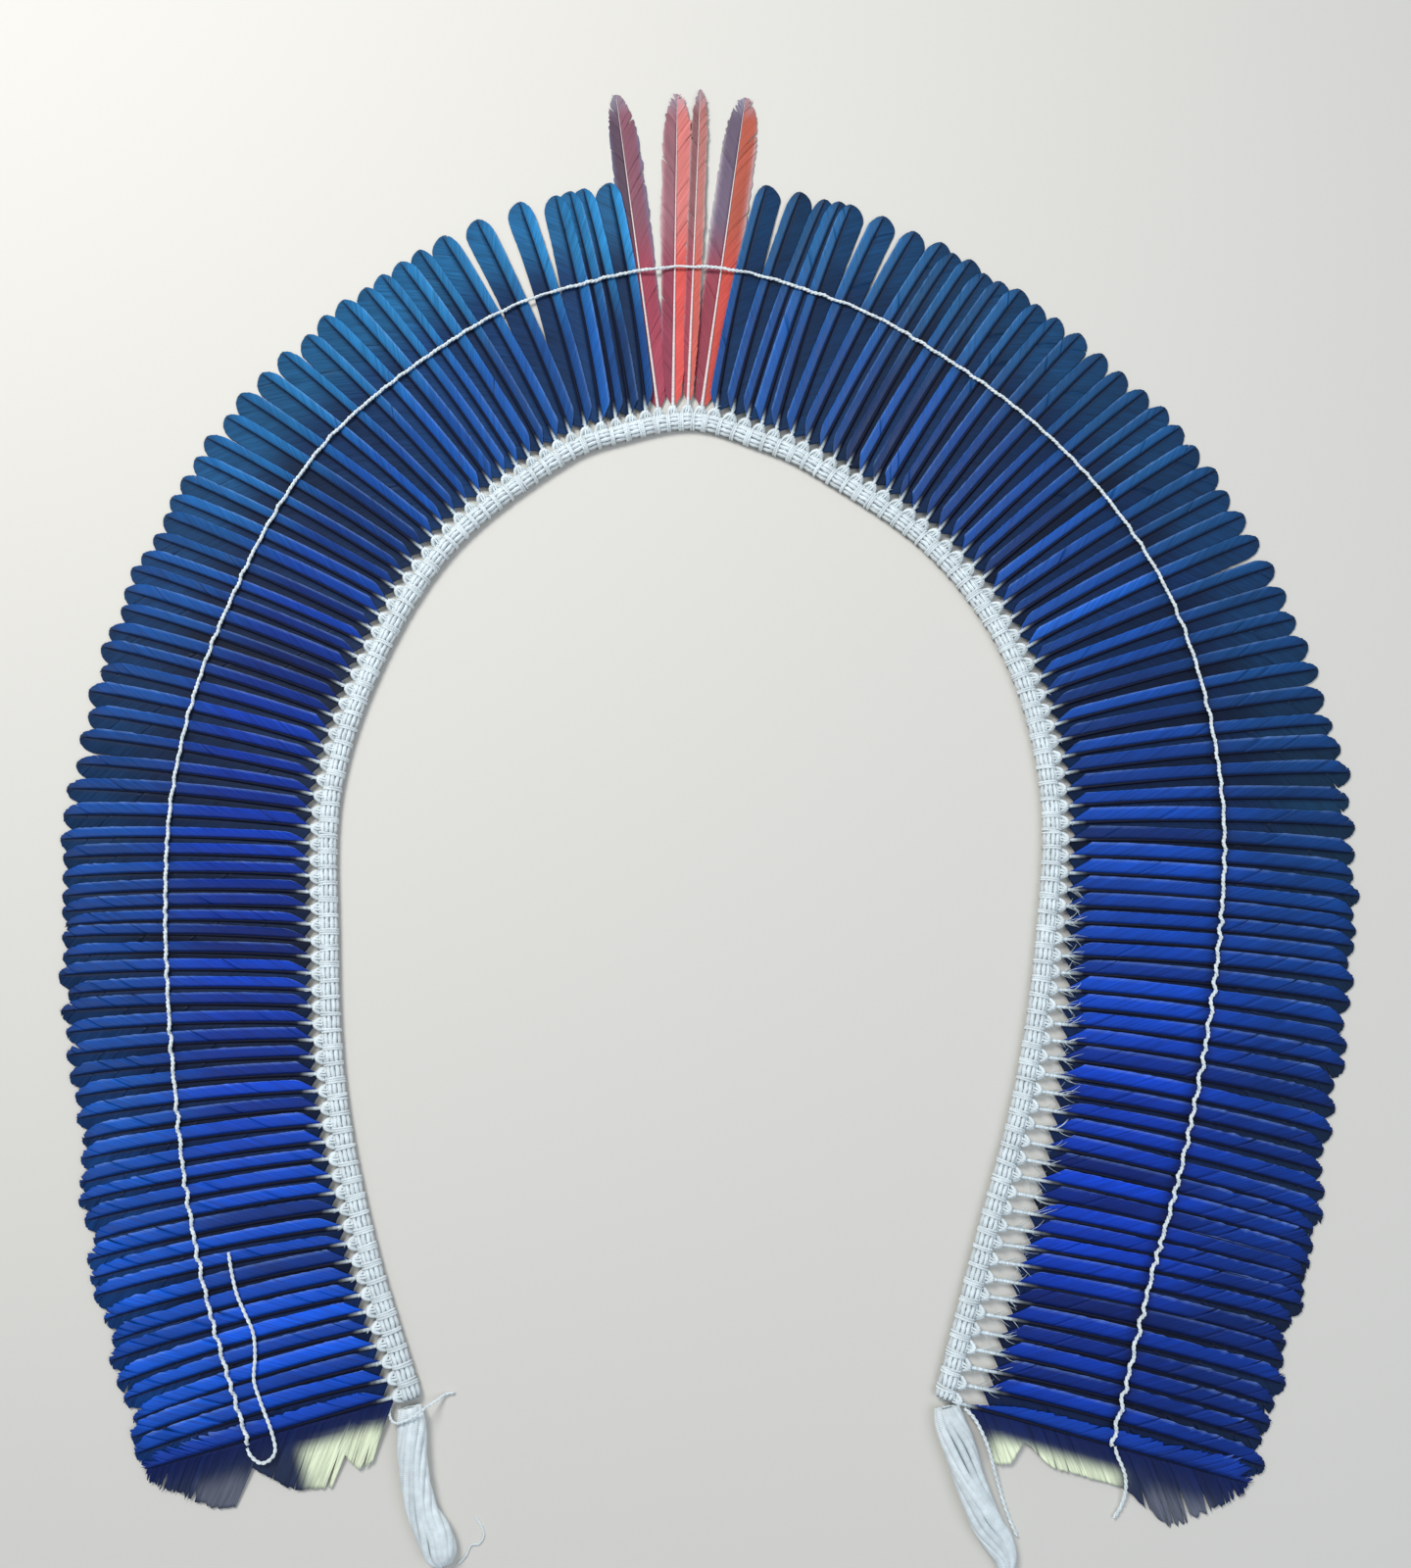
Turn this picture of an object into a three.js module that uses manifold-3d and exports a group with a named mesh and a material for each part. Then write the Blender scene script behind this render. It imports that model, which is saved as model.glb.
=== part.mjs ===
// Feathered headdress: an open arch of flight feathers tied side by side to a bound cotton band.
// It lies flat, opening towards -Y, with its underside on the plane z = 0. Millimetres, +Z up.
import * as THREE from "three";
import { mergeVertices } from "three/addons/utils/BufferGeometryUtils.js";
import Module from "manifold-3d";

const wasm = await Module();
wasm.setup();

// ---------------------------------------------------------------- driving dimensions

const PLAN_CENTRE = { x: 2, y: 16 }; // middle of the arch's box in the plan that the tables use

// Centre line of the band and its row of knots, a row about every 100 mm and closer at the crown.
const BAND_ROUTE = [
  { x: -190, y: -401 },
  { x: -224, y: -305 },
  { x: -248, y: -207 },
  { x: -258, y: -104 },
  { x: -260, y: -3 },
  { x: -233, y: 92 },
  { x: -184, y: 176 },
  { x: -108, y: 240 },
  { x: -60, y: 260 },
  { x: -10, y: 269 },
  { x: 37, y: 255 },
  { x: 82, y: 233 },
  { x: 164, y: 172 },
  { x: 218, y: 91 },
  { x: 240, y: -6 },
  { x: 233, y: -106 },
  { x: 214, y: -208 },
  { x: 184, y: -306 },
  { x: 155, y: -401 },
];

const CORE = { inner: -8.5, outer: 3.5, height: 8 }; // the bound core, across the centre line
const KNOTS = { inner: 3.9, outer: 8.5, low: 0.3, high: 6 }; // the row of knots that ties the quills

// Feathers: reach of the tip from the band's centre line, lean of the feather from square to the
// band, positive towards the arm's end, bare quill before the vane, and where the stay cord crosses.
const LEFT_ARM = {
  side: -1,
  first: 32,
  last: 802,
  rows: [
    { at: 0, reach: 199, lean: -5, bare: 7, stay: 119 },
    { at: 100, reach: 195, lean: -4, bare: 7, stay: 118 },
    { at: 200, reach: 190, lean: 2, bare: 7, stay: 117 },
    { at: 300, reach: 185, lean: 1, bare: 7, stay: 110 },
    { at: 400, reach: 180, lean: -2, bare: 8, stay: 107 },
    { at: 500, reach: 180, lean: -4, bare: 9, stay: 108 },
    { at: 600, reach: 171, lean: -3, bare: 10, stay: 103 },
    { at: 700, reach: 173, lean: -5, bare: 11, stay: 105 },
    { at: 810, reach: 172, lean: -4, bare: 12, stay: 104 },
  ],
};
const RIGHT_ARM = {
  side: 1,
  first: 16,
  last: 805,
  rows: [
    { at: 0, reach: 196, lean: -3, bare: 7, stay: 119 },
    { at: 100, reach: 198, lean: -3, bare: 7, stay: 121 },
    { at: 200, reach: 197, lean: -2, bare: 7, stay: 118 },
    { at: 300, reach: 197, lean: -2, bare: 8, stay: 119 },
    { at: 400, reach: 207, lean: 1, bare: 10, stay: 116 },
    { at: 500, reach: 207, lean: -3, bare: 16, stay: 114 },
    { at: 600, reach: 201, lean: -2, bare: 24, stay: 109 },
    { at: 700, reach: 204, lean: -6, bare: 28, stay: 107 },
    { at: 810, reach: 202, lean: -2, bare: 26, stay: 107 },
  ],
};
const FEATHERS_PER_ARM = 71; // the last of them, at the arm's end, has its whole vane showing
const FEATHERS_PER_GROUP = 5;
const KNOT_ROW_STEPS = 4; // straight stretches that follow the band's curve under one group

const FEATHER = {
  thick: 0.8,
  halfWidth: 10,
  quillHalfWidth: 1.2,
  flare: 14, // length over which the vane widens from the quill
  tipTaper: 15,
  bow: 3, // how far the middle of the feather bows towards the crown
  rootHeight: 4.2,
  fall: 0.0137, // drop of the feather per mm of its length, from the band to the floor
  tilt: 0.105, // rise of the feather per mm of its width, so that each lies over its neighbour
};
const REACH_SPREAD = { crown: 2, end: 5 }; // how uneven the tips are at the crown and at the ends
const LEAN_SPREAD = 0.4; // degrees

// Crown feathers, longer than the rest: root along the band, tip from the root across the crown,
// widths of the vane on each side of the shaft, level in the stack.
const CROWN_FEATHERS = [
  { at: -23, length: 262, heading: 97.5, left: 10, right: 13, level: 0 },
  { at: -13, length: 258, heading: 89.5, left: 11, right: 12, level: 1 },
  { at: -3, length: 261, heading: 88, left: 6, right: 7, level: 2 },
  { at: 6, length: 258, heading: 82.5, left: 13, right: 14, level: 0 },
];
const CROWN_ROOT_HEIGHT = 1.6;
const CROWN_TIP_HEIGHT = 0.7;
const CROWN_LEVEL = 0.95; // rise of one level of the stack

// Vane of each end feather: distance along the shaft, width on the crown side and on the end side.
const END_FEATHER = { lift: 0.8, tilt: 0.06 };
const END_VANE_LEFT = [
  { along: 7, crown: 1.2, end: 2 },
  { along: 22, crown: 8, end: 34 },
  { along: 38, crown: 9, end: 37 },
  { along: 45, crown: 9, end: 20 },
  { along: 52, crown: 9, end: 44 },
  { along: 80, crown: 9, end: 38 },
  { along: 102, crown: 10, end: 16 },
  { along: 112, crown: 10, end: 39 },
  { along: 130, crown: 10, end: 35 },
  { along: 152, crown: 9, end: 18 },
  { along: 164, crown: 5, end: 8 },
];
const END_VANE_RIGHT = [
  { along: 9, crown: 1.2, end: 2 },
  { along: 34, crown: 6, end: 30 },
  { along: 44, crown: 8, end: 28 },
  { along: 48, crown: 8, end: 12 },
  { along: 70, crown: 9, end: 23 },
  { along: 115, crown: 10, end: 23 },
  { along: 150, crown: 10, end: 38 },
  { along: 166, crown: 12, end: 27 },
  { along: 180, crown: 14, end: 15 },
  { along: 190, crown: 9, end: 4 },
];

const CORD_DIAMETER = 2.5;
const STAY_CORD = { height: 6.4, steps: 72, before: -806, after: 806 };

// Ties: the band's strands twisted into a thick bundle, a row for each section.
const TIE = { lobes: 5, lobeDepth: 0.1, twistPerMm: 0.045, bed: 0.1 };
const TIE_LEFT = [
  { x: -189, y: -405, width: 15, height: 10 },
  { x: -187, y: -415, width: 18, height: 12 },
  { x: -186, y: -432, width: 18, height: 13 },
  { x: -183, y: -450, width: 18, height: 13 },
  { x: -178, y: -467, width: 19, height: 12 },
  { x: -170, y: -481, width: 22, height: 12 },
  { x: -166, y: -491, width: 20, height: 11 },
  { x: -163, y: -498, width: 11, height: 8 },
];
const TIE_RIGHT = [
  { x: 154, y: -405, width: 15, height: 10 },
  { x: 156, y: -414, width: 19, height: 12 },
  { x: 161, y: -428, width: 20, height: 13 },
  { x: 166, y: -444, width: 19, height: 13 },
  { x: 171, y: -459, width: 19, height: 13 },
  { x: 177, y: -473, width: 19, height: 12 },
  { x: 184, y: -484, width: 18, height: 10 },
  { x: 188, y: -494, width: 14, height: 8 },
  { x: 188, y: -504, width: 8, height: 6 },
];

// Free cords, each a row of points along its centre line.
const FREE_CORDS = {
  stay_tail_left: {
    diameter: 2.5,
    points: [
      { x: -291, y: -429, z: 6.4 },
      { x: -288, y: -434, z: 6.2 },
      { x: -282, y: -438, z: 6.0 },
      { x: -276, y: -436, z: 6.0 },
      { x: -273, y: -430, z: 6.2 },
      { x: -276, y: -419, z: 6.4 },
      { x: -281, y: -408, z: 6.4 },
      { x: -285, y: -399, z: 6.4 },
      { x: -289, y: -388, z: 6.4 },
      { x: -289, y: -374, z: 6.4 },
      { x: -291, y: -360, z: 6.4 },
      { x: -297, y: -348, z: 6.4 },
      { x: -303, y: -336, z: 6.4 },
      { x: -307, y: -323, z: 6.4 },
      { x: -310, y: -310, z: 6.4 },
    ],
  },
  stay_tail_right: {
    diameter: 2.5,
    points: [
      { x: 260, y: -428, z: 6.4 },
      { x: 261, y: -433, z: 6.4 },
      { x: 264, y: -440, z: 6.2 },
      { x: 266, y: -447, z: 5.2 },
      { x: 266, y: -456, z: 3.2 },
      { x: 263, y: -465, z: 1.6 },
      { x: 258, y: -472, z: 1.35 },
    ],
  },
  band_tail_left: {
    diameter: 2,
    points: [
      { x: -202, y: -404, z: 1.3 },
      { x: -202, y: -409, z: 3.0 },
      { x: -200, y: -412, z: 7.0 },
      { x: -196, y: -413, z: 11.2 },
      { x: -190, y: -411, z: 13.6 },
      { x: -184, y: -408, z: 13.4 },
      { x: -178, y: -404, z: 10.5 },
      { x: -172, y: -401, z: 5.0 },
      { x: -167, y: -398, z: 1.8 },
      { x: -161, y: -397, z: 1.2 },
    ],
  },
  tie_thread_left: {
    diameter: 1.2,
    points: [
      { x: -156, y: -499, z: 0.9 },
      { x: -151, y: -494, z: 0.7 },
      { x: -148, y: -488, z: 0.7 },
      { x: -143, y: -487, z: 0.7 },
      { x: -140, y: -482, z: 0.7 },
      { x: -142, y: -476, z: 0.7 },
      { x: -146, y: -471, z: 0.7 },
    ],
  },
  side_cord_right: {
    diameter: 2.5,
    points: [
      { x: 165, y: -405, z: 6.8 },
      { x: 171, y: -411, z: 6.6 },
      { x: 176, y: -420, z: 6.2 },
      { x: 180, y: -430, z: 5.4 },
      { x: 183, y: -441, z: 3.6 },
      { x: 186, y: -452, z: 2.0 },
      { x: 189, y: -463, z: 1.4 },
      { x: 193, y: -474, z: 1.35 },
      { x: 197, y: -483, z: 1.35 },
    ],
  },
};

const GAP = 0.3; // between neighbouring pieces

// ---------------------------------------------------------------- materials

const MATERIALS = {
  cotton: { color: 0xdfe8e6, roughness: 0.9, metalness: 0 },
  blueFeather: { color: 0x1d3f9c, roughness: 0.55, metalness: 0 },
  endFeather: { color: 0x22335f, roughness: 0.6, metalness: 0 },
  redFeather: { color: 0xc2554a, roughness: 0.6, metalness: 0 },
};

// ---------------------------------------------------------------- shared shapes

// A number from -1 to 1 that is always the same for the same feather and use.
function scatter(index, use) {
  const raw = Math.sin(index * 12.9898 + use * 78.233) * 43758.5453;
  return (raw - Math.floor(raw)) * 2 - 1;
}

// The value of one column of a table at a distance along the arm.
function rowValue(rows, at, column) {
  for (let i = 1; i < rows.length; i++) {
    if (at <= rows[i].at || i === rows.length - 1) {
      const share = (at - rows[i - 1].at) / (rows[i].at - rows[i - 1].at);
      return rows[i - 1][column] + share * (rows[i][column] - rows[i - 1][column]);
    }
  }
}

const bandCurve = new THREE.CatmullRomCurve3(
  BAND_ROUTE.map(({ x, y }) => new THREE.Vector3(x, y, 0)),
  false,
  "catmullrom",
  0.5,
);
bandCurve.arcLengthDivisions = 800;
const bandLengths = bandCurve.getLengths();
const bandLength = bandLengths[bandLengths.length - 1];
const crownAt = bandLengths[bandCurve.arcLengthDivisions / 2];

// Point of the band's centre line at a signed distance from the crown, right arm positive, with
// the direction along the band and the direction away from the opening.
function bandStation(at) {
  const u = THREE.MathUtils.clamp((crownAt + at) / bandLength, 0, 1);
  const point = bandCurve.getPointAt(u);
  const along = bandCurve.getTangentAt(u);
  const outward = new THREE.Vector3(-along.y, along.x, 0);
  return { point, along, outward };
}

// A closed solid from rings of equally many points, capped at both ends.
function loft(rings) {
  const count = rings[0].length;
  const positions = rings.flat().flatMap((p) => [p.x, p.y, p.z]);
  const index = [];
  for (let i = 0; i < rings.length - 1; i++) {
    for (let j = 0; j < count; j++) {
      const a = i * count + j;
      const b = i * count + ((j + 1) % count);
      index.push(a, b, a + count, b, b + count, a + count);
    }
  }
  const last = (rings.length - 1) * count;
  for (let j = 1; j < count - 1; j++) {
    index.push(0, j + 1, j);
    index.push(last, last + j, last + j + 1);
  }
  const geometry = new THREE.BufferGeometry();
  geometry.setAttribute("position", new THREE.Float32BufferAttribute(positions, 3));
  geometry.setIndex(index);
  return geometry;
}

// The points of a section, given as { across, up } rows, set square to the band at a station.
function bandRing(at, section) {
  const { point, outward } = bandStation(at);
  return section.map(({ across, up }) =>
    point.clone().addScaledVector(outward, across).add(new THREE.Vector3(0, 0, up)),
  );
}

function toSolid(geometry) {
  const bare = geometry.index ? geometry.toNonIndexed() : geometry.clone();
  bare.deleteAttribute("normal");
  bare.deleteAttribute("uv");
  const merged = mergeVertices(bare, 1e-4);
  const mesh = new wasm.Mesh({
    numProp: 3,
    vertProperties: merged.attributes.position.array,
    triVerts: new Uint32Array(merged.index.array),
  });
  return new wasm.Manifold(mesh);
}

function toGeometry(solid) {
  const mesh = solid.getMesh();
  const geometry = new THREE.BufferGeometry();
  geometry.setAttribute("position", new THREE.BufferAttribute(mesh.vertProperties, 3));
  geometry.setIndex(new THREE.BufferAttribute(mesh.triVerts, 1));
  return geometry;
}

// Joins geometries that run into each other into one closed body.
function fuse(geometries) {
  const solids = geometries.map(toSolid);
  return toGeometry(solids.slice(1).reduce((sum, solid) => sum.add(solid), solids[0]));
}

function named(name, geometry, material) {
  const mesh = new THREE.Mesh(geometry, new THREE.MeshStandardMaterial(MATERIALS[material]));
  mesh.name = name;
  return mesh;
}

// A round cord along a curve.
function cord(curve, diameter, steps, sides = 8) {
  const section = new THREE.Shape();
  for (let i = 0; i < sides; i++) {
    const angle = (i / sides) * 2 * Math.PI;
    const [x, y] = [(diameter / 2) * Math.cos(angle), (diameter / 2) * Math.sin(angle)];
    if (i === 0) section.moveTo(x, y);
    else section.lineTo(x, y);
  }
  section.closePath();
  return new THREE.ExtrudeGeometry(section, { steps, extrudePath: curve, curveSegments: 1 });
}

// ---------------------------------------------------------------- the band

function bandCore() {
  const middle = (CORE.inner + CORE.outer) / 2;
  const half = (CORE.outer - CORE.inner) / 2;
  const section = [
    { across: middle - 0.7 * half, up: 0 },
    { across: middle + 0.7 * half, up: 0 },
    { across: CORE.outer, up: 0.3 * CORE.height },
    { across: CORE.outer, up: 0.65 * CORE.height },
    { across: middle + 0.5 * half, up: CORE.height },
    { across: middle - 0.5 * half, up: CORE.height },
    { across: CORE.inner, up: 0.65 * CORE.height },
    { across: CORE.inner, up: 0.3 * CORE.height },
  ];
  const steps = 84;
  const rings = [];
  for (let i = 0; i <= steps; i++) {
    rings.push(bandRing((i / steps) * bandLength - crownAt, section));
  }
  return loft(rings);
}

// The stretch of knots that ties the quills between two places along the band.
function knotRow(from, to, count) {
  const section = [
    { across: KNOTS.inner, up: KNOTS.low },
    { across: KNOTS.outer, up: KNOTS.low },
    { across: KNOTS.outer, up: 0.9 * KNOTS.high },
    { across: KNOTS.inner, up: KNOTS.high },
  ];
  const rings = [];
  for (let i = 0; i <= count; i++) {
    rings.push(bandRing(THREE.MathUtils.lerp(from, to, i / count), section));
  }
  return loft(rings);
}

// ---------------------------------------------------------------- feathers

const ROOT_OFFSET = (KNOTS.inner + KNOTS.outer) / 2; // where a quill stands in the row of knots

// Station, direction and length of a feather of one arm, counted from the crown.
function featherPlace(arm, index) {
  const pitch = (arm.last - arm.first) / (FEATHERS_PER_ARM - 1);
  const at = arm.first + index * pitch;
  const { point, along, outward } = bandStation(arm.side * at);
  const share = index / (FEATHERS_PER_ARM - 1);
  const spread = THREE.MathUtils.lerp(REACH_SPREAD.crown, REACH_SPREAD.end, share);
  const key = index + (arm.side > 0 ? 100 : 0);
  const lean = rowValue(arm.rows, at, "lean") + LEAN_SPREAD * scatter(key, 1);
  const turn = -arm.side * THREE.MathUtils.degToRad(lean);
  const direction = outward.clone().applyAxisAngle(new THREE.Vector3(0, 0, 1), turn);
  return {
    at,
    pitch,
    along,
    direction,
    root: point.clone().addScaledVector(outward, ROOT_OFFSET),
    length: rowValue(arm.rows, at, "reach") - ROOT_OFFSET + spread * scatter(key, 2),
    bare: rowValue(arm.rows, at, "bare"),
  };
}

// Lays a flat outline, drawn as { along, crown } points, at a root as a thin tilted plate.
function plate(outline, { root, direction, side, height, fall, tilt }) {
  const shape = new THREE.Shape(
    outline.map(({ along, crown }) => new THREE.Vector2(along, side * crown)),
  );
  const options = { depth: FEATHER.thick, bevelEnabled: false, steps: 1 };
  const geometry = new THREE.ExtrudeGeometry(shape, options);
  geometry.translate(0, 0, -FEATHER.thick / 2);
  const lengthwise = new THREE.Vector3(direction.x, direction.y, -fall).normalize();
  const crosswise = new THREE.Vector3(-direction.y, direction.x, side * tilt);
  const normal = new THREE.Vector3().crossVectors(lengthwise, crosswise).normalize();
  crosswise.crossVectors(normal, lengthwise);
  const place = new THREE.Matrix4().makeBasis(lengthwise, crosswise, normal);
  place.setPosition(root.x, root.y, height);
  return geometry.applyMatrix4(place);
}

const QUILL_START = -1.3; // the quill's end, inside the row of knots

// How far a feather's middle line is bowed towards the crown at a distance along it.
function bowAt(along, length) {
  const share = along / length;
  return 4 * FEATHER.bow * share * (1 - share);
}

// A feather: a bare quill, a vane that flares, long even edges and a rounded tip.
function featherOutline(length, bare) {
  const { halfWidth, quillHalfWidth, flare, tipTaper } = FEATHER;
  const knee = ROOT_OFFSET / 2 + bare;
  const rows = [
    { along: QUILL_START, crown: -quillHalfWidth },
    { along: knee + flare, crown: -halfWidth },
    { along: length - tipTaper, crown: -halfWidth },
    { along: length - 0.3 * tipTaper, crown: -0.6 * halfWidth },
    { along: length, crown: 0 },
    { along: length - 0.3 * tipTaper, crown: 0.6 * halfWidth },
    { along: length - tipTaper, crown: halfWidth },
    { along: knee + flare, crown: halfWidth },
    { along: QUILL_START, crown: quillHalfWidth },
  ];
  const longQuill = bare > 15;
  if (longQuill) {
    rows.splice(1, 0, { along: knee, crown: -quillHalfWidth });
    rows.splice(rows.length - 1, 0, { along: knee, crown: quillHalfWidth });
  }
  return rows.map(({ along, crown }) => ({ along, crown: crown + bowAt(along, length) }));
}

function armFeather(arm, index) {
  const feather = featherPlace(arm, index);
  return plate(featherOutline(feather.length, feather.bare), {
    ...feather,
    side: arm.side,
    height: FEATHER.rootHeight,
    fall: FEATHER.fall,
    tilt: FEATHER.tilt,
  });
}

// Neighbouring feathers fused to their stretch of knots.
function featherGroup(arm, firstIndex) {
  const { at, pitch } = featherPlace(arm, firstIndex);
  const from = at - pitch / 2 + GAP / 2;
  const to = at + (FEATHERS_PER_GROUP - 0.5) * pitch - GAP / 2;
  const ends = [arm.side * from, arm.side * to].sort((a, b) => a - b);
  const solids = [knotRow(...ends, KNOT_ROW_STEPS)];
  for (let i = 0; i < FEATHERS_PER_GROUP; i++) {
    solids.push(armFeather(arm, firstIndex + i));
  }
  return fuse(solids);
}

// The feather at an arm's end, with the downy lower vane that the others hide.
function endFeather(arm, vane) {
  const feather = featherPlace(arm, FEATHERS_PER_ARM - 1);
  const from = feather.at - feather.pitch / 2 + GAP / 2;
  const ends = [arm.side * from, arm.side * (feather.at + 3)].sort((a, b) => a - b);
  const quill = FEATHER.quillHalfWidth;
  const outline = [
    { along: QUILL_START, crown: -quill },
    ...vane.map(({ along, end }) => ({ along, crown: -end })),
    { along: vane[vane.length - 1].along + 3, crown: 0 },
    ...vane.map(({ along, crown }) => ({ along, crown })).reverse(),
    { along: QUILL_START, crown: quill },
  ];
  const blade = plate(outline, {
    ...feather,
    side: arm.side,
    height: FEATHER.rootHeight + END_FEATHER.lift,
    fall: FEATHER.fall,
    tilt: END_FEATHER.tilt,
  });
  return fuse([knotRow(...ends, 1), blade]);
}

// One of the long feathers at the crown.
function crownFeather({ at, length, heading, left, right, level }, from, to) {
  const { point, outward } = bandStation(at);
  const angle = THREE.MathUtils.degToRad(heading);
  const quill = FEATHER.quillHalfWidth;
  const outline = [
    { along: QUILL_START, crown: -quill },
    { along: 0.25 * length, crown: -0.5 * right },
    { along: 0.6 * length, crown: -right },
    { along: 0.8 * length, crown: -0.95 * right },
    { along: 0.97 * length, crown: -0.45 * right },
    { along: length, crown: 0 },
    { along: 0.97 * length, crown: 0.55 * left },
    { along: 0.8 * length, crown: left },
    { along: 0.6 * length, crown: left },
    { along: 0.25 * length, crown: 0.5 * left },
    { along: QUILL_START, crown: quill },
  ];
  const rise = level * CROWN_LEVEL;
  const blade = plate(outline, {
    root: point.clone().addScaledVector(outward, ROOT_OFFSET),
    direction: new THREE.Vector3(Math.cos(angle), Math.sin(angle), 0),
    side: 1,
    height: CROWN_ROOT_HEIGHT + rise,
    fall: (CROWN_ROOT_HEIGHT - CROWN_TIP_HEIGHT) / length,
    tilt: 0,
  });
  return fuse([knotRow(from + GAP / 2, to - GAP / 2, 1), blade]);
}

// ---------------------------------------------------------------- the stay cord and the ties

// The cord that crosses every feather, laid on the raised edges of the feathers.
function stayCurve() {
  const spacing = 10;
  const points = [];
  for (let at = STAY_CORD.before; at <= STAY_CORD.after; at += spacing) {
    const arm = at < 0 ? LEFT_ARM : RIGHT_ARM;
    const { point, outward } = bandStation(at);
    const turn = -arm.side * THREE.MathUtils.degToRad(rowValue(arm.rows, Math.abs(at), "lean"));
    const direction = outward.clone().applyAxisAngle(new THREE.Vector3(0, 0, 1), turn);
    const station = point.clone().addScaledVector(direction, rowValue(arm.rows, Math.abs(at), "stay"));
    points.push(station.setZ(STAY_CORD.height));
  }
  return new THREE.CatmullRomCurve3(points);
}

// A bundle of twisted strands through its sections, lying on the floor.
function tie(rows, turnSense) {
  const sides = 2 * TIE.lobes;
  let run = 0;
  const rings = rows.map((row, i) => {
    const before = rows[Math.max(i - 1, 0)];
    const after = rows[Math.min(i + 1, rows.length - 1)];
    run += Math.hypot(row.x - before.x, row.y - before.y);
    const heading = Math.atan2(after.y - before.y, after.x - before.x);
    const twist = turnSense * TIE.twistPerMm * run;
    const ring = [];
    for (let j = 0; j < sides; j++) {
      const angle = (j / sides) * 2 * Math.PI + twist;
      const swell = j % 2 === 0 ? 1 : 1 - TIE.lobeDepth;
      const across = (row.width / 2) * swell * Math.cos(angle);
      const up = (row.height / 2) * (1 + swell * Math.sin(angle)) + TIE.bed;
      ring.push(
        new THREE.Vector3(row.x - across * Math.sin(heading), row.y + across * Math.cos(heading), up),
      );
    }
    return ring;
  });
  return loft(rings);
}

function freeCord({ diameter, points }) {
  const curve = new THREE.CatmullRomCurve3(points.map(({ x, y, z }) => new THREE.Vector3(x, y, z)));
  const steps = Math.ceil(curve.getLength() / (3 * diameter));
  return cord(curve, diameter, steps);
}

// ---------------------------------------------------------------- assembly

const group = new THREE.Group();
group.position.set(-PLAN_CENTRE.x, -PLAN_CENTRE.y, 0);

group.add(named("band_core", bandCore(), "cotton"));

const arms = { left: LEFT_ARM, right: RIGHT_ARM };
for (const [armName, arm] of Object.entries(arms)) {
  const groups = (FEATHERS_PER_ARM - 1) / FEATHERS_PER_GROUP;
  for (let i = 0; i < groups; i++) {
    const name = `blue_feathers_${armName}_${i + 1}`;
    group.add(named(name, featherGroup(arm, i * FEATHERS_PER_GROUP), "blueFeather"));
  }
}
group.add(named("end_feather_left", endFeather(LEFT_ARM, END_VANE_LEFT), "endFeather"));
group.add(named("end_feather_right", endFeather(RIGHT_ARM, END_VANE_RIGHT), "endFeather"));

// The crown feathers share the stretch of knots between the first feathers of the two arms.
const armPitch = (arm) => (arm.last - arm.first) / (FEATHERS_PER_ARM - 1);
const crownFrom = -LEFT_ARM.first + armPitch(LEFT_ARM) / 2;
const crownTo = RIGHT_ARM.first - armPitch(RIGHT_ARM) / 2;
CROWN_FEATHERS.forEach((row, i) => {
  const share = (crownTo - crownFrom) / CROWN_FEATHERS.length;
  const from = crownFrom + i * share;
  group.add(named(`crown_feather_${i + 1}`, crownFeather(row, from, from + share), "redFeather"));
});

group.add(named("stay_cord", cord(stayCurve(), CORD_DIAMETER, STAY_CORD.steps), "cotton"));
group.add(named("tie_left", tie(TIE_LEFT, 1), "cotton"));
group.add(named("tie_right", tie(TIE_RIGHT, -1), "cotton"));
for (const [name, row] of Object.entries(FREE_CORDS)) {
  group.add(named(name, freeCord(row), "cotton"));
}

export default group;
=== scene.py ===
"""Looks of a feathered headdress: an open arch of dyed flight feathers tied to a bound cotton band.

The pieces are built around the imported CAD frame. Plan sizes are in millimetres, in the plan that the
part's own tables use, and become metres in the CAD frame when a mesh is made.
"""

import logging
import math
from collections.abc import Iterator
from dataclasses import dataclass, field
from enum import Enum

import bpy
import numpy as np
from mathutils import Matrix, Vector


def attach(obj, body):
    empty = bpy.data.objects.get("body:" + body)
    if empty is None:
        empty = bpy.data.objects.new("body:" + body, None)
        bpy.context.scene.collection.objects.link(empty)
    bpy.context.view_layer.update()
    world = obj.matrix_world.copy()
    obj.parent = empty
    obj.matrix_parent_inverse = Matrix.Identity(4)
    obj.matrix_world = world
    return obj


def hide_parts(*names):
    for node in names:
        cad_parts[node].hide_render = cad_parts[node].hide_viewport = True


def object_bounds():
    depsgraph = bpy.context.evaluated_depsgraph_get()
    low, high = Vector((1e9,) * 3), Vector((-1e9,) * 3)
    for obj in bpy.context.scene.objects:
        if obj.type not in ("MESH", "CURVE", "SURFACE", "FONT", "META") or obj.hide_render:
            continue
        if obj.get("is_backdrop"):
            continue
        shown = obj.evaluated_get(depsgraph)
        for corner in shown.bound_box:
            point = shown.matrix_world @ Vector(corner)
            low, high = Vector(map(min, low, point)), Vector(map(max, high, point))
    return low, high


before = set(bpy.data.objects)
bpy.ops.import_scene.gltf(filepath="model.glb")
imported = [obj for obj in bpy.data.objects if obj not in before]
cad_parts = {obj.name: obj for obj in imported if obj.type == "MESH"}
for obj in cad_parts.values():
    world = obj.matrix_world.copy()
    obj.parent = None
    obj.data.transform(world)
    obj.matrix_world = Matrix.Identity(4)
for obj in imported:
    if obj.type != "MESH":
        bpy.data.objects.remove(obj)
CAD_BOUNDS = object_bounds()

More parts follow.
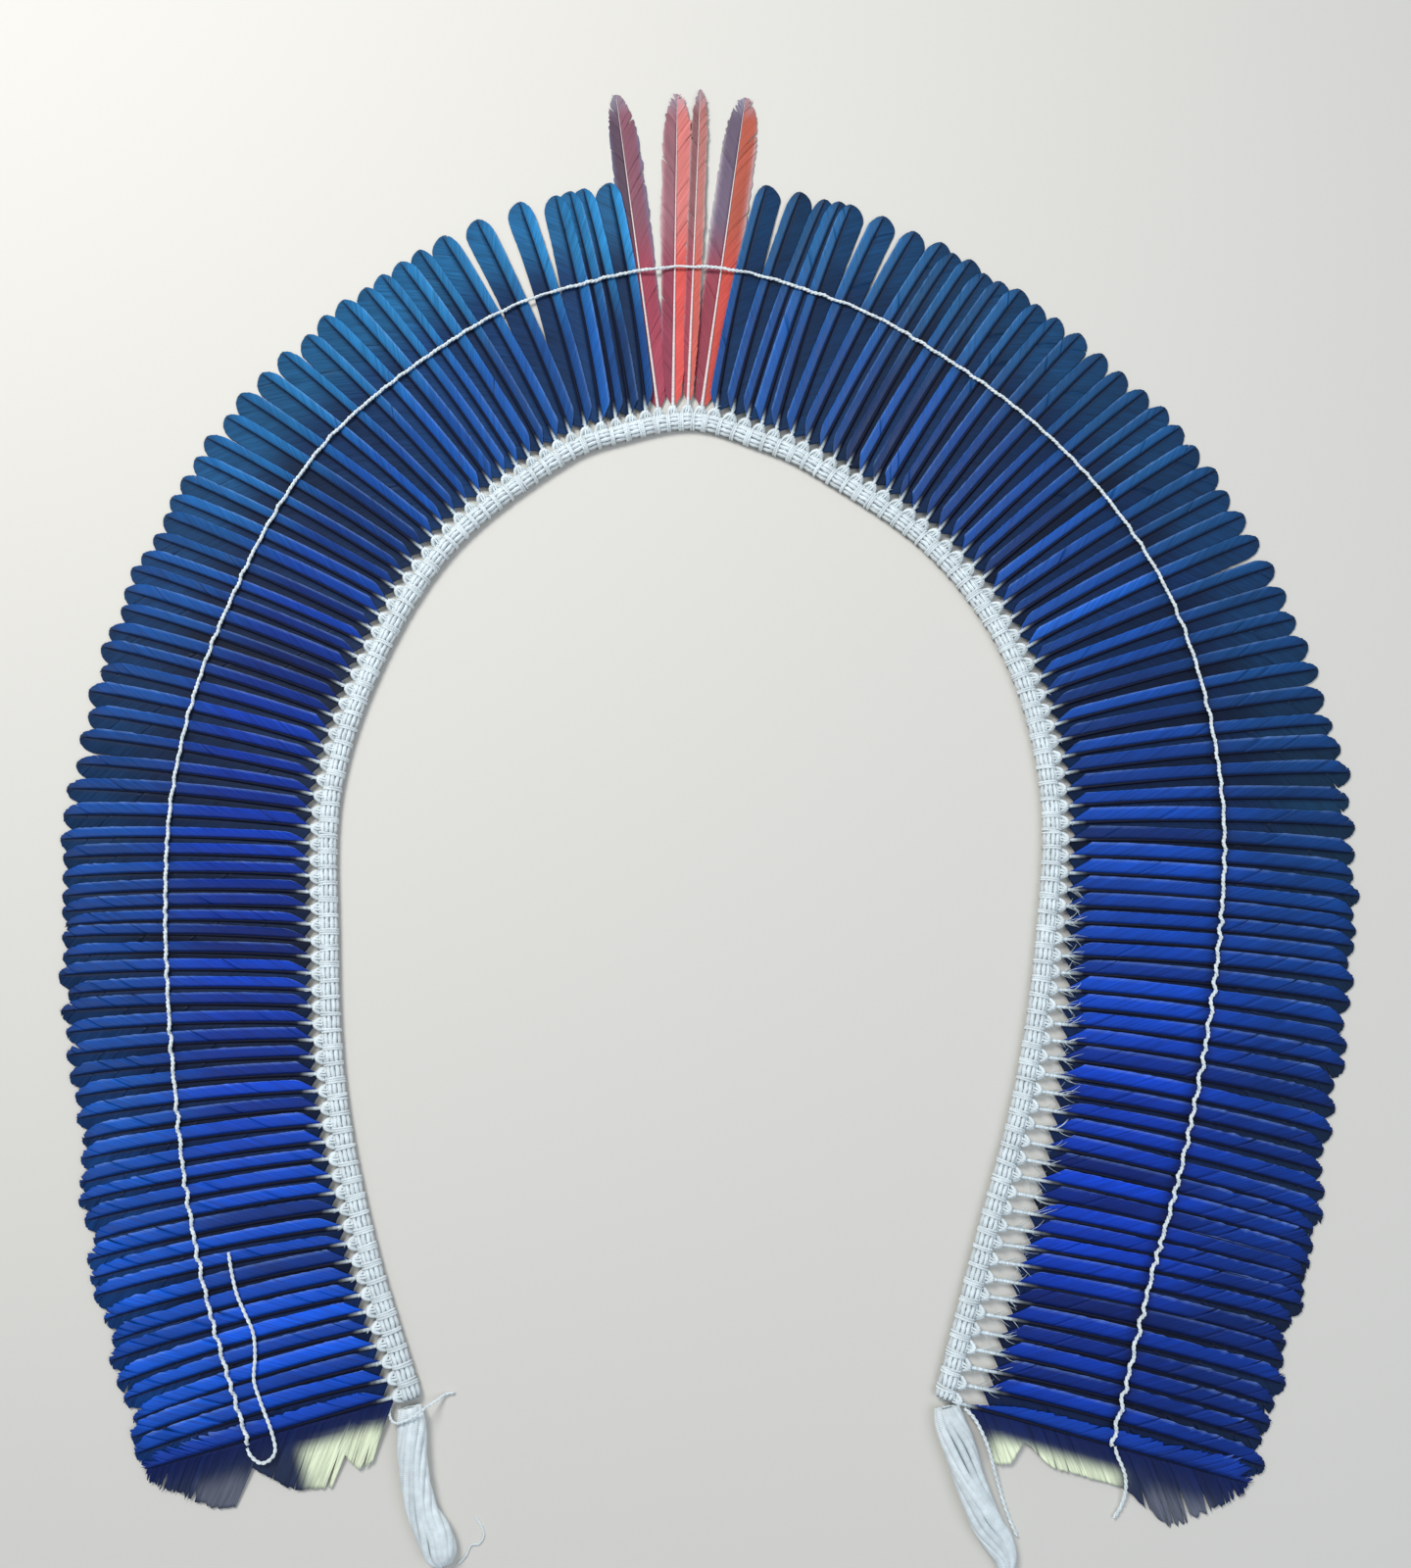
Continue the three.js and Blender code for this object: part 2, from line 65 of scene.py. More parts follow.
LOG = logging.getLogger("headdress")
PLAN_CENTRE = (2.0, 16.0)  # middle of the arch's box in the plan that the tables use
UP = np.array([0.0, 0.0, 1.0])

SINE_HASH = (12.9898, 78.233, 43758.5453)  # uneven factors, which spread the values

Grid = np.ndarray


class Slot(Enum):
    """The record's material slots."""

    COTTON = "cotton"
    BLUE = "blue_feather"
    END = "end_feather"
    RED = "red_feather"


class FarEnd(Enum):
    """What is on a free cord's far end."""

    BARE = "bare"
    OBJECT = "object"


# ---------------------------------------------------------------- shared tools


def linear(colour: str) -> Grid:
    """Turns an sRGB hex colour into linear values.

    Args:
        colour: six hex digits after a hash.

    Returns:
        Red, green and blue, linear.
    """
    parts = np.array([int(colour[i : i + 2], 16) / 255 for i in (1, 3, 5)])
    return np.where(parts <= 0.04045, parts / 12.92, ((parts + 0.055) / 1.055) ** 2.4)


def metres(points: Grid) -> Grid:
    """Moves plan points in millimetres into the CAD frame.

    Args:
        points: rows of x, y and z in millimetres.

    Returns:
        The same rows in metres.
    """
    moved = np.array(points, float)
    moved[..., 0] -= PLAN_CENTRE[0]
    moved[..., 1] -= PLAN_CENTRE[1]
    return moved / 1000


def scatter(index: float, use: float) -> float:
    """A number from -1 to 1 that is always the same for the same feather and use."""
    raw = math.sin(index * SINE_HASH[0] + use * SINE_HASH[1]) * SINE_HASH[2]
    return (raw - math.floor(raw)) * 2 - 1


def smooth(value: Grid, low: float, high: float) -> Grid:
    """An even step from 0 at low to 1 at high."""
    share = np.clip((value - low) / (high - low), 0, 1)
    return share * share * (3 - 2 * share)


def mixed(first: Grid, second: Grid, share: Grid) -> Grid:
    """A blend of two colours, the first where share is 0 and the second where it is 1."""
    return first * (1 - share) + second * share


def turned(way: Grid, angle: float) -> Grid:
    """A direction in the plan, turned anticlockwise by an angle in radians."""
    cos, sin = math.cos(angle), math.sin(angle)
    return np.array([way[0] * cos - way[1] * sin, way[0] * sin + way[1] * cos])


def run_of(line: Grid) -> Grid:
    """How far along a line each of its points lies."""
    return np.concatenate([[0], np.cumsum(np.linalg.norm(np.diff(line, axis=0), axis=1))])


def smooth_curve(points: Grid, steps: int) -> tuple[Grid, Grid]:
    """A smooth curve through a row of points.

    Args:
        points: the row, in order.
        steps: fine points for each stretch between two of them, the last point left out.

    Returns:
        The fine points, and the curve's slope at each.
    """
    rows = np.array(points, float)
    rows = np.vstack([2 * rows[0] - rows[1], rows, 2 * rows[-1] - rows[-2]])
    share = np.linspace(0, 1, steps, endpoint=False)[:, None]
    line, slope = [], []
    for a, b, c, d in zip(rows, rows[1:], rows[2:], rows[3:]):
        m, n = (c - a) / 2, (d - b) / 2
        k2, k3 = -3 * b + 3 * c - 2 * m - n, 2 * b - 2 * c + m + n
        line.append(b + share * m + share**2 * k2 + share**3 * k3)
        slope.append(m + 2 * share * k2 + 3 * share**2 * k3)
    return np.vstack(line), np.vstack(slope)


def spline(points: Grid, count: int) -> Grid:
    """Even points along a smooth curve through a row of points.

    Args:
        points: the row, in order.
        count: how many points come back.

    Returns:
        The points, equally far apart.
    """
    line = np.vstack([smooth_curve(points, 16)[0], points[-1:]])
    run = run_of(line)
    at = np.linspace(0, run[-1], count)
    return np.stack([np.interp(at, run, line[:, k]) for k in range(line.shape[1])], 1)


def sides_of(line: Grid) -> tuple[Grid, Grid]:
    """Level and upright directions square to a line in space.

    Args:
        line: rows of points.

    Returns:
        A level unit vector and a second one, square to it and to the line, for each point.
    """
    along = np.gradient(line, axis=0)
    along /= np.linalg.norm(along, axis=1, keepdims=True) + 1e-12
    level = np.cross(along, UP)
    level /= np.linalg.norm(level, axis=1, keepdims=True) + 1e-9
    return level, np.cross(level, along)


class Mesher:
    """Gathers grids of quads, with a colour and a grain place for each point, into one mesh."""

    def __init__(self) -> None:
        """Starts with nothing gathered."""
        self.points: list[Grid] = []
        self.colours: list[Grid] = []
        self.grain: list[Grid] = []
        self.faces: list[Grid] = []
        self.flat: list[Grid] = []
        self.count = 0

    def _add_points(self, points: Grid, colours: Grid, grain: Grid) -> int:
        """Keeps points with their colours and grain places, and returns the first one's number."""
        start = self.count
        self.points.append(points.reshape(-1, 3))
        self.colours.append(np.broadcast_to(colours, points.shape).reshape(-1, 3))
        self.grain.append(np.broadcast_to(grain, points.shape).reshape(-1, 3))
        self.count += self.points[-1].shape[0]
        return start

    def _add_faces(self, faces: Grid, flat: bool = False) -> None:
        """Keeps quads, given by their points' numbers, shaded flat or smooth."""
        self.faces.append(faces.reshape(-1, 4))
        self.flat.append(np.full(self.faces[-1].shape[0], flat))

    def shell(self, top: Grid, drop: Grid, colours: Grid, grain: Grid, under: Grid) -> None:
        """Adds a thin closed sheet.

        Args:
            top: points of its upper face, rows by columns.
            drop: vectors from the upper face to the lower one.
            colours: linear colours of the upper face.
            grain: grain places of both faces.
            under: linear colours of the lower face.
        """
        rows, columns = top.shape[:2]
        ids = np.arange(rows * columns).reshape(rows, columns)
        a = self._add_points(top, colours, grain)
        b = self._add_points(top + drop, under, grain)
        quads = np.stack([ids[:-1, :-1], ids[1:, :-1], ids[1:, 1:], ids[:-1, 1:]], -1)
        self._add_faces(quads + a)
        self._add_faces(quads[..., ::-1] + b)
        ring = np.concatenate([ids[0, :-1], ids[:-1, -1], ids[-1, :0:-1], ids[:0:-1, 0]])
        after = np.roll(ring, -1)
        self._add_faces(np.stack([ring + a, after + a, after + b, ring + b], -1), True)

    def tube(self, rings: Grid, colours: Grid, grain: Grid) -> None:
        """Adds a closed tube.

        Args:
            rings: points, rings by an even number of sides, turning the same way.
            colours: linear colours of the points.
            grain: grain places of the points.
        """
        count, sides = rings.shape[:2]
        start = self._add_points(rings, colours, grain)
        ids = np.arange(count * sides).reshape(count, sides) + start
        turned = np.roll(ids, -1, axis=1)
        self._add_faces(np.stack([ids[:-1], turned[:-1], turned[1:], ids[1:]], -1))
        half = sides // 2
        for ring, forward in ((ids[0], False), (ids[-1], True)):
            strip = [
                [ring[k], ring[k + 1], ring[sides - 2 - k], ring[sides - 1 - k]]
                for k in range(half - 1)
            ]
            caps = np.array(strip)
            self._add_faces(caps if forward else caps[:, ::-1])

    def strand(
        self,
        line: Grid,
        radius: Grid | float,
        colour: Grid,
        sides: int = 6,
        seed: float = 0.0,
    ) -> None:
        """Adds a round tube along a line.

        Args:
            line: its centre line.
            radius: its radius, one for all or one for each point.
            colour: linear colour, one for all or one for each point.
            sides: how many sides it has.
            seed: shifts its grain.
        """
        level, upright = sides_of(line)
        angle = np.linspace(0, 2 * math.pi, sides, endpoint=False)
        size = np.broadcast_to(radius, (len(line),))[:, None, None]
        ring = (
            level[:, None] * np.cos(angle)[None, :, None]
            + upright[:, None] * np.sin(angle)[None, :, None]
        )
        rings = line[:, None] + size * ring
        grain = np.zeros(rings.shape)
        grain[..., 0] = run_of(line)[:, None]
        grain[..., 1] = angle[None, :]
        grain[..., 2] = seed
        tint = np.broadcast_to(colour, (len(line), 3))[:, None]
        self.tube(rings, np.broadcast_to(tint, rings.shape), grain)

    def build(self, name: str, material: bpy.types.Material) -> bpy.types.Object:
        """Makes the object.

        Args:
            name: the object's name.
            material: its material.

        Returns:
            The object, in the scene, its place in its mesh.
        """
        points = metres(np.concatenate(self.points))
        faces = np.concatenate(self.faces)
        mesh = bpy.data.meshes.new(name)
        mesh.vertices.add(len(points))
        mesh.vertices.foreach_set("co", points.ravel())
        mesh.loops.add(faces.size)
        mesh.loops.foreach_set("vertex_index", faces.ravel().astype(np.int32))
        mesh.polygons.add(len(faces))
        mesh.polygons.foreach_set("loop_start", np.arange(0, faces.size, 4, dtype=np.int32))
        mesh.update(calc_edges=True)
        mesh.validate()
        tint = np.ones((len(points), 4), np.float32)
        tint[:, :3] = np.concatenate(self.colours)
        layer = mesh.color_attributes.new("tint", "FLOAT_COLOR", "POINT")
        layer.data.foreach_set("color", tint.ravel())
        places = mesh.attributes.new("grain", "FLOAT_VECTOR", "POINT")
        places.data.foreach_set("vector", np.concatenate(self.grain).astype(np.float32).ravel())
        flat = np.concatenate(self.flat)
        mesh.polygons.foreach_set("use_smooth", ~flat)
        mesh.materials.append(material)
        made = bpy.data.objects.new(name, mesh)
        bpy.context.scene.collection.objects.link(made)
        return made


def finish_piece(piece: bpy.types.Object, slot: Slot, *nodes: str) -> bpy.types.Object:
    """Rides a piece on the frame and hides the CAD nodes that it stands for.

    Args:
        piece: the piece.
        slot: the record's material slot, not used.
        nodes: CAD nodes that it stands for.

    Returns:
        The same piece.
    """
    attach(piece, "root")
    if nodes:
        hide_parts(*nodes)
    LOG.info("%s: %d faces", piece.name, len(piece.data.polygons))
    return piece


# ---------------------------------------------------------------- materials


WAVE_UNIT = 0.318  # scale at which the wave texture repeats about once a unit


def add_node(
    tree: bpy.types.NodeTree,
    kind: str,
    links: dict[str | int, bpy.types.NodeSocket] | None = None,
    **settings: object,
) -> bpy.types.Node:
    """Adds a shader node.

    Args:
        tree: the node tree.
        kind: the node's type name, after ShaderNode.
        links: output sockets to join, by the input they go to.
        settings: node properties, or input values where the name starts with in_.

    Returns:
        The node.
    """
    node = tree.nodes.new("ShaderNode" + kind)
    for name, value in settings.items():
        if name.startswith("in_"):
            node.inputs[name[3:].replace("_", " ")].default_value = value
        else:
            setattr(node, name, value)
    for name, socket in (links or {}).items():
        tree.links.new(socket, node.inputs[name])
    return node


def new_material(name: str) -> tuple[bpy.types.Material, bpy.types.NodeTree]:
    """An empty node material.

    Args:
        name: the material's name.

    Returns:
        The material and its node tree.
    """
    material = bpy.data.materials.new(name)
    material.use_nodes = True
    material.node_tree.nodes.clear()
    return material, material.node_tree


@dataclass(frozen=True)
class FeatherFinish:
    """A dyed flight feather: barbs in fine ribs, with streaks where the dye took unevenly."""

    # Feather is keratin: the barbs give a satin gloss and fine ribs, and the dye takes in streaks.
    name: str
    barb_pitch: float = 0.55  # mm between barbs, the spacing of a large flight feather
    clump_scale: tuple[float, float, float] = (0.55, 0.05, 1.0)  # streaks a mm, across and along a barb
    barb_scale: tuple[float, float, float] = (1.6, 0.08, 1.0)  # the same for single barbs
    streak: float = 0.35  # how much the streaks darken and lighten
    roughness: float = 0.42
    sheen: float = 0.04
    sheen_colour: str = "#8FB4FF"

    def build(self) -> bpy.types.Material:
        """Makes the material."""
        material, tree = new_material(self.name)
        tint = add_node(tree, "Attribute", attribute_name="tint")
        grain = add_node(tree, "Attribute", attribute_name="grain").outputs["Vector"]
        noises = []
        for scale, detail in ((self.clump_scale, 2.0), (self.barb_scale, 3.0)):
            place = add_node(tree, "Mapping", {"Vector": grain}, in_Scale=scale).outputs[0]
            noise = add_node(tree, "TexNoise", {"Vector": place}, in_Scale=1.0, in_Detail=detail)
            noises.append(noise.outputs["Fac"])
        clumps, barbs = noises
        both = add_node(tree, "Math", {0: clumps, 1: barbs}, operation="ADD").outputs[0]
        gain = add_node(
            tree, "MapRange", {"Value": both}, in_From_Min=0.7, in_From_Max=1.3,
            in_To_Min=1 - self.streak, in_To_Max=1 + self.streak,
        ).outputs[0]  # fmt: skip
        colour = add_node(
            tree, "VectorMath", {0: tint.outputs["Color"], "Scale": gain}, operation="SCALE"
        )
        ribs = add_node(
            tree, "Mapping", {"Vector": grain}, in_Scale=(1 / self.barb_pitch, 0.0, 0.0)
        ).outputs[0]
        wave = add_node(
            tree, "TexWave", {"Vector": ribs}, in_Scale=WAVE_UNIT, in_Distortion=0.6,
            bands_direction="X",
        )  # fmt: skip
        rise = add_node(tree, "Math", {0: wave.outputs["Fac"], 1: barbs}, operation="ADD").outputs[0]
        bump = add_node(tree, "Bump", {"Height": rise}, in_Strength=0.35, in_Distance=0.0004)
        shine = add_node(
            tree, "MapRange", {"Value": clumps}, in_From_Min=0.3, in_From_Max=0.7,
            in_To_Min=self.roughness - 0.08, in_To_Max=self.roughness + 0.12,
        )  # fmt: skip
        faces = {
            "Base Color": colour.outputs[0],
            "Normal": bump.outputs[0],
            "Roughness": shine.outputs[0],
        }
        shader = add_node(
            tree, "BsdfPrincipled", faces, in_Sheen_Weight=self.sheen, in_Sheen_Roughness=0.4,
            in_Sheen_Tint=(*linear(self.sheen_colour), 1), in_Specular_IOR_Level=0.2,
        )  # fmt: skip
        add_node(tree, "OutputMaterial", {"Surface": shader.outputs[0]})
        return material


@dataclass(frozen=True)
class CottonFinish:
    """Bleached cotton string: soft, matt and slightly cool, with the ply's fine lines."""

    # Spun cotton has no gloss of its own: loose fibres soften it, and handling leaves grey patches.
    name: str
    ply_pitch: float = 1.1  # mm along a strand between the lines of its ply
    soil_scale: float = 180.0  # grey patches a metre, so about 6 mm wide
    fibre_scale: float = 1500.0  # fibres a metre, coarser than real so that they show

    def build(self) -> bpy.types.Material:
        """Makes the material."""
        material, tree = new_material(self.name)
        tint = add_node(tree, "Attribute", attribute_name="tint")
        grain = add_node(tree, "Attribute", attribute_name="grain")
        place = {"Vector": add_node(tree, "TexCoord").outputs["Object"]}
        soil = add_node(tree, "TexNoise", place, in_Scale=self.soil_scale, in_Detail=4.0)
        shade = add_node(
            tree, "MapRange", {"Value": soil.outputs["Fac"]}, in_From_Min=0.3, in_From_Max=0.7,
            in_To_Min=0.86, in_To_Max=1.06,
        ).outputs[0]  # fmt: skip
        colour = add_node(
            tree, "VectorMath", {0: tint.outputs["Color"], "Scale": shade}, operation="SCALE"
        )
        split = add_node(tree, "SeparateXYZ", {0: grain.outputs["Vector"]})
        run = add_node(tree, "Math", {0: split.outputs["X"]}, operation="MULTIPLY")
        run.inputs[1].default_value = 2 * math.pi / self.ply_pitch
        turn = add_node(tree, "Math", {0: run.outputs[0], 1: split.outputs["Y"]}, operation="ADD")
        ply = add_node(tree, "Math", {0: turn.outputs[0]}, operation="SINE")
        fibres = add_node(tree, "TexNoise", place, in_Scale=self.fibre_scale, in_Detail=2.0)
        rise = add_node(
            tree, "Math", {0: ply.outputs[0], 1: fibres.outputs["Fac"]}, operation="ADD"
        ).outputs[0]
        bump = add_node(tree, "Bump", {"Height": rise}, in_Strength=0.5, in_Distance=0.0003)
        shader = add_node(
            tree, "BsdfPrincipled", {"Base Color": colour.outputs[0], "Normal": bump.outputs[0]},
            in_Roughness=0.9, in_Sheen_Weight=0.2, in_Specular_IOR_Level=0.25,
        )  # fmt: skip
        add_node(tree, "OutputMaterial", {"Surface": shader.outputs[0]})
        return material


@dataclass(frozen=True)
class FloorFinish:
    """Pale matt floor."""

    # Painted board: even, with hardly any gloss, so that nothing is mirrored in it.
    name: str
    colour: str = "#D9D5CC"

    def build(self) -> bpy.types.Material:
        """Makes the material."""
        material, tree = new_material(self.name)
        base = (*linear(self.colour), 1)
        shader = add_node(tree, "BsdfPrincipled", in_Roughness=0.85, in_Base_Color=base)
        add_node(tree, "OutputMaterial", {"Surface": shader.outputs[0]})
        return material


# ---------------------------------------------------------------- the band's route

BAND_ROUTE = [
    (-190, -401), (-224, -305), (-248, -207), (-258, -104), (-260, -3), (-233, 92),
    (-184, 176), (-108, 240), (-60, 260), (-10, 269), (37, 255), (82, 233), (164, 172),
    (218, 91), (240, -6), (233, -106), (214, -208), (184, -306), (155, -401),
]  # fmt: skip


class BandRoute:
    """Centre line of the band, measured from the crown, the right arm positive."""

    FINE = 240  # points between two rows of the table

    def __init__(self, rows: list[tuple[float, float]]) -> None:
        """Works out the line.

        Args:
            rows: its points in the plan, from the left end, the middle one at the crown.
        """
        self.line, self.slope = smooth_curve(rows, self.FINE)
        self.run = run_of(self.line)
        self.crown = self.run[(len(rows) - 1) // 2 * self.FINE]
        self.first, self.last = -self.crown, self.run[-1] - self.crown

    def point(self, at: Grid | float, across: Grid | float = 0.0, up: Grid | float = 0.0) -> Grid:
        """Points beside the centre line.

        Args:
            at: distance from the crown.
            across: distance from the centre line, away from the opening.
            up: height.

        Returns:
            Rows of x, y and z.
        """
        at = np.asarray(at, float)
        run = np.clip(at + self.crown, 0, self.run[-1])
        place = np.stack([np.interp(run, self.run, self.line[:, k]) for k in (0, 1)], -1)
        outward = self.outward(at)
        flat = place + outward * np.asarray(across, float)[..., None]
        height = np.broadcast_to(np.asarray(up, float), flat.shape[:-1])
        return np.concatenate([flat, height[..., None]], -1)

    def outward(self, at: Grid | float) -> Grid:
        """Direction away from the opening, square to the band, at a distance from the crown."""
        run = np.clip(np.asarray(at, float) + self.crown, 0, self.run[-1])
        slope = np.stack([np.interp(run, self.run, self.slope[:, k]) for k in (0, 1)], -1)
        slope /= np.linalg.norm(slope, axis=-1, keepdims=True)
        return np.stack([-slope[..., 1], slope[..., 0]], -1)


ROUTE = BandRoute(BAND_ROUTE)


# ---------------------------------------------------------------- feathers

ROOT_OFFSET = 6.2  # where a quill stands in the row of knots
QUILL_START = -1.3
FEATHERS_PER_ARM = 71
FEATHERS_PER_GROUP = 5
ROOT_HEIGHT = 4.2
FALL = 0.0137  # drop per mm of a feather's length
TILT = 0.105  # rise per mm towards the crown, so that each feather lies over the next
BOW = 3.0


@dataclass(frozen=True)
class ArmRow:
    """A row of an arm's table: what the feathers do at a distance from the crown."""

    at: float
    reach: float
    lean: float
    bare: float
    stay: float
    lead: str  # colour of the crown-side vane by the band
    outer: str  # colour of the crown-side vane by the tip
    trail: str  # colour of the other vane
    tip: str  # colour of the other vane's tip


@dataclass(frozen=True)
class Arm:
    """One arm of the arch and its table."""

    name: str
    side: int
    first: float
    last: float
    rows: tuple[ArmRow, ...]

    @property
    def pitch(self) -> float:
        """Distance between neighbouring feathers along the band."""
        return (self.last - self.first) / (FEATHERS_PER_ARM - 1)

    def value(self, at: float, column: str) -> float:
        """The table's value of one column at a distance from the crown."""
        return float(np.interp(at, [r.at for r in self.rows], [getattr(r, column) for r in self.rows]))

    def colour(self, at: float, column: str) -> Grid:
        """The table's linear colour of one column at a distance from the crown."""
        shades = np.array([linear(getattr(r, column)) for r in self.rows])
        places = [r.at for r in self.rows]
        return np.array([np.interp(at, places, shades[:, k]) for k in range(3)])


LEFT_ARM = Arm(
    "left",
    -1,
    32,
    802,
    (
        ArmRow(0, 199, -5, 7, 119, "#1E4690", "#4472B4", "#1A2C5A", "#36578F"),
        ArmRow(100, 195, -4, 7, 118, "#1A4492", "#3E6CAE", "#182A58", "#305084"),
        ArmRow(200, 190, 2, 7, 117, "#143E92", "#355E9E", "#15244E", "#28426F"),
        ArmRow(300, 185, 1, 7, 110, "#0A2C8A", "#1B4490", "#101C42", "#1A3060"),
        ArmRow(400, 180, -2, 8, 107, "#042688", "#143A86", "#0E1738", "#14264E"),
        ArmRow(500, 180, -4, 9, 108, "#032EA0", "#103A90", "#0E193E", "#142650"),
        ArmRow(600, 171, -3, 10, 103, "#0634AC", "#114098", "#0E1A42", "#16285A"),
        ArmRow(700, 173, -5, 11, 105, "#0A48C8", "#0A48BC", "#0E1C4A", "#14306C"),
        ArmRow(810, 172, -4, 12, 104, "#0844C4", "#0846BC", "#0C1A4A", "#102660"),
    ),
)
RIGHT_ARM = Arm(
    "right",
    1,
    16,
    805,
    (
        ArmRow(0, 196, -3, 7, 119, "#1C4088", "#2C4C84", "#182750", "#1A2E58"),
        ArmRow(100, 198, -3, 7, 121, "#1C4290", "#2C4E88", "#182750", "#20345F"),
        ArmRow(200, 197, -2, 7, 118, "#18439C", "#294A86", "#162450", "#20345F"),
        ArmRow(300, 197, -2, 8, 119, "#1C48A8", "#24407A", "#14204A", "#1A2C58"),
        ArmRow(400, 207, 1, 10, 116, "#103A9C", "#16387C", "#121C42", "#182848"),
        ArmRow(500, 207, -3, 16, 114, "#0A3CAC", "#0E3484", "#10193E", "#141E3C"),
        ArmRow(600, 201, -2, 24, 109, "#0632AC", "#082C86", "#0C1842", "#101A3A"),
        ArmRow(700, 204, -6, 28, 107, "#0432B0", "#062A84", "#0A1742", "#0C1738"),
        ArmRow(810, 202, -2, 26, 107, "#0838B4", "#05267C", "#0A1846", "#0C1A40"),
    ),
)
END_SPREAD = 5.0
CROWN_SPREAD = 2.0
LEAN_SPREAD = 0.4
DYE = np.array([0.35, 1.3, 1.05])  # keeps the blues clear of violet
SHAFT_DARK = linear("#070D26")
# painted highlight: the pale line along each blue feather's crown-side edge
EDGE_HIGHLIGHT = linear("#8FB0E4")
QUILL_WHITE = linear("#DDE9EC")


@dataclass(frozen=True)
class VaneShape:
    """How a vane's barbs run."""

    rows: int = 64
    lead_columns: int = 5
    trail_columns: int = 5
    lead_angle: float = 28.0  # of a barb from the shaft, degrees
    trail_angle: float = 50.0
    thick: float = 0.24
    flare: float = 20.0  # length over which the crown-side vane widens
    trail_flare: float = 5.0
    taper: float = 16.0
    clump: tuple[int, int] = (4, 11)  # rows in a clump of barbs
    split: float = 1.0  # widest gap between clumps
    ragged: float = 0.35  # how uneven the barb ends are, mm


@dataclass
class Plane:
    """The tilted plane that a feather lies in."""

    root: Grid
    direction: Grid
    side: int
    height: float
    fall: float
    tilt: float

    def place(self, along: Grid, crown: Grid, lift: Grid) -> Grid:
        """Points of the plane.

        Args:
            along: distance from the root.
            crown: distance towards the crown.
            lift: distance above the plane.

        Returns:
            Rows of x, y and z.
        """
        dx, dy = self.direction
        run = np.array([dx, dy, -self.fall])
        run /= np.linalg.norm(run)
        over = np.array([-dy, dx, self.side * self.tilt])
        normal = np.cross(run, over)
        normal /= np.linalg.norm(normal)
        over = np.cross(normal, run) * self.side
        start = np.array([self.root[0], self.root[1], self.height])
        return start + along[..., None] * run + crown[..., None] * over + lift[..., None] * normal


